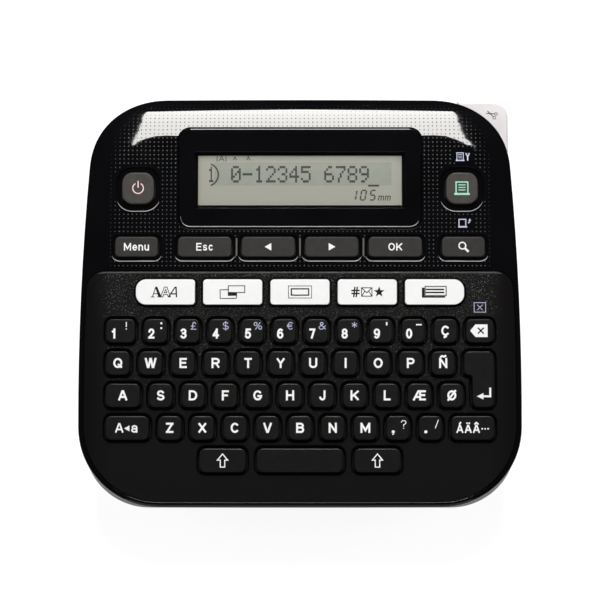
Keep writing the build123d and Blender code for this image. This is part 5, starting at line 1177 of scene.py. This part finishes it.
def add_camera():
    data = bpy.data.cameras.new("camera")
    data.lens = CAMERA_LENS
    data.sensor_width = CAMERA_SENSOR
    data.clip_start = 0.01
    camera = bpy.data.objects.new("camera", data)
    bpy.context.scene.collection.objects.link(camera)
    camera.matrix_world = facing(FACE @ Vector(CAMERA_EYE), FACE @ Vector(CAMERA_TARGET))
    bpy.context.scene.camera = camera


def add_lamp(name, eye, target, width, length, power):
    data = bpy.data.lights.new(name, "AREA")
    data.shape = "RECTANGLE"
    data.size = width
    data.size_y = length
    data.energy = power
    lamp = bpy.data.objects.new(name, data)
    bpy.context.scene.collection.objects.link(lamp)
    lamp.matrix_world = facing(eye, target)
    lamp.visible_camera = False
    return lamp


def show_in_gloss_only(obj):
    obj.visible_camera = False
    obj.visible_diffuse = False
    obj.visible_shadow = False


def add_softbox(eye, target):
    """The rear lamp's face as the gloss mirrors it."""
    edges = {}
    for side, tip in SOFTBOX_TIPS.items():
        edges[side] = [Vector((side * x, y, 0.0)) for x, y in (*SOFTBOX_OUTER, tip, *SOFTBOX_INNER)]
    bm = bmesh.new()
    bm.faces.new([bm.verts.new(p) for p in edges[1] + edges[-1][:0:-1]])
    material, tree, shader = new_material("softbox")
    feed(tree, shader, {
        "Base Color": (0.0, 0.0, 0.0, 1.0),
        "Emission Color": (1.0, 0.985, 0.96, 1.0),
        "Emission Strength": SOFTBOX_GLOW,
    })
    softbox = new_object("softbox", bm, material)
    softbox.matrix_world = facing(eye, target)
    show_in_gloss_only(softbox)


def add_flags():
    """Dark cards that keep the gloss edges black and the rear lamp's glare off the keys."""
    cloth = surface("flag_cloth", (0.004, 0.004, 0.004), 0.9, vary=0.2, grain=900.0, ior=1.02)
    for name, (start, end, low, high) in FLAGS.items():
        bm = bmesh.new()
        corners = ((*start, low), (*end, low), (*end, high), (*start, high))
        bm.faces.new([bm.verts.new(corner) for corner in corners])
        flag = new_object(name, bm, cloth)
        show_in_gloss_only(flag)


def add_lamps():
    """A tall softbox behind the machine, which the rolled edge mirrors, and weak boxes round it."""
    aim = FACE @ Vector((0.0, 62.0, -2.0))
    lean = math.radians(SOFTBOX_LEAN) - FACE_TILT
    eye = aim + Vector((0.0, math.sin(lean), math.cos(lean))) * SOFTBOX_DISTANCE
    add_softbox(eye, aim)
    add_lamp("rear_strip", eye, aim, 0.36, 1.1, 22.0).visible_glossy = False
    middle = Vector((0.0, 0.0, 0.04))
    for name, side in (("side_box_left", -1), ("side_box_right", 1)):
        add_lamp(name, Vector((side * 1.1, 0.1, 0.75)), middle, 0.5, 0.5, 3.0)
    add_lamp("front_box", Vector((0.0, -1.3, 0.5)), middle, 1.2, 0.35, 2.0)


def seen_rays(tree):
    """One for rays from the camera, from gloss and through glass, and nothing for the rest."""
    rays = tree.nodes.new("ShaderNodeLightPath").outputs
    shown = calculate(tree, "MAXIMUM", rays["Is Camera Ray"], rays["Is Glossy Ray"])
    return calculate(tree, "MAXIMUM", shown, rays["Is Transmission Ray"])


def add_floor():
    """A wide pale floor that shows white and keeps a faint shadow."""
    bm = bmesh.new()
    bmesh.ops.create_grid(bm, x_segments=8, y_segments=8, size=8.0)
    material, tree, shader = new_material("floor")
    feed(tree, shader, {
        "Base Color": blend_colours(tree, noise(tree, 3.0), (0.3, 0.3, 0.3), (0.32, 0.32, 0.32)),
        "Roughness": 0.9,
        "Specular IOR Level": 0.0,
        "Emission Color": (1.0, 1.0, 1.0, 1.0),
        "Emission Strength": spread(tree, seen_rays(tree), 0.0, 0.86, 0.0, 1.0),
    })
    floor = new_object("floor", bm, material)


def add_world():
    """A pale horizon under a dark ceiling for the rays that show it, and a dim even fill for the rest."""
    world = bpy.data.worlds.new("studio")
    world.use_nodes = True
    bpy.context.scene.world = world
    tree = world.node_tree
    direction = add_node(tree, "TexCoord", {}, "Generated")
    height = add_node(tree, "SeparateXYZ", {"Vector": direction}, "Z")
    horizon = spread(tree, height, 1.0, 0.02, 0.15, 0.26)
    strength = add_node(tree, "Mix", {"Factor": seen_rays(tree), "A": 0.22, "B": horizon}, "Result")
    feed(tree, tree.nodes["Background"], {"Color": (1.0, 1.0, 1.0, 1.0), "Strength": strength})


finish_nodes()
mark_number_row()
mark_letter_row("upper_letter_row_keys", UPPER_ROW)
mark_letter_row("middle_letter_row_keys", MIDDLE_ROW)
mark_lower_row()
mark_side_keys()
mark_function_keys()
mark_fascia_keys()
mark_fascia()
ring_openings()
draw_edge_highlights()
mark_display()
finish_marks()
fascia_dots()
add_camera()
add_lamps()
add_flags()
add_floor()
add_world()
bpy.context.scene.view_settings.view_transform = "Standard"
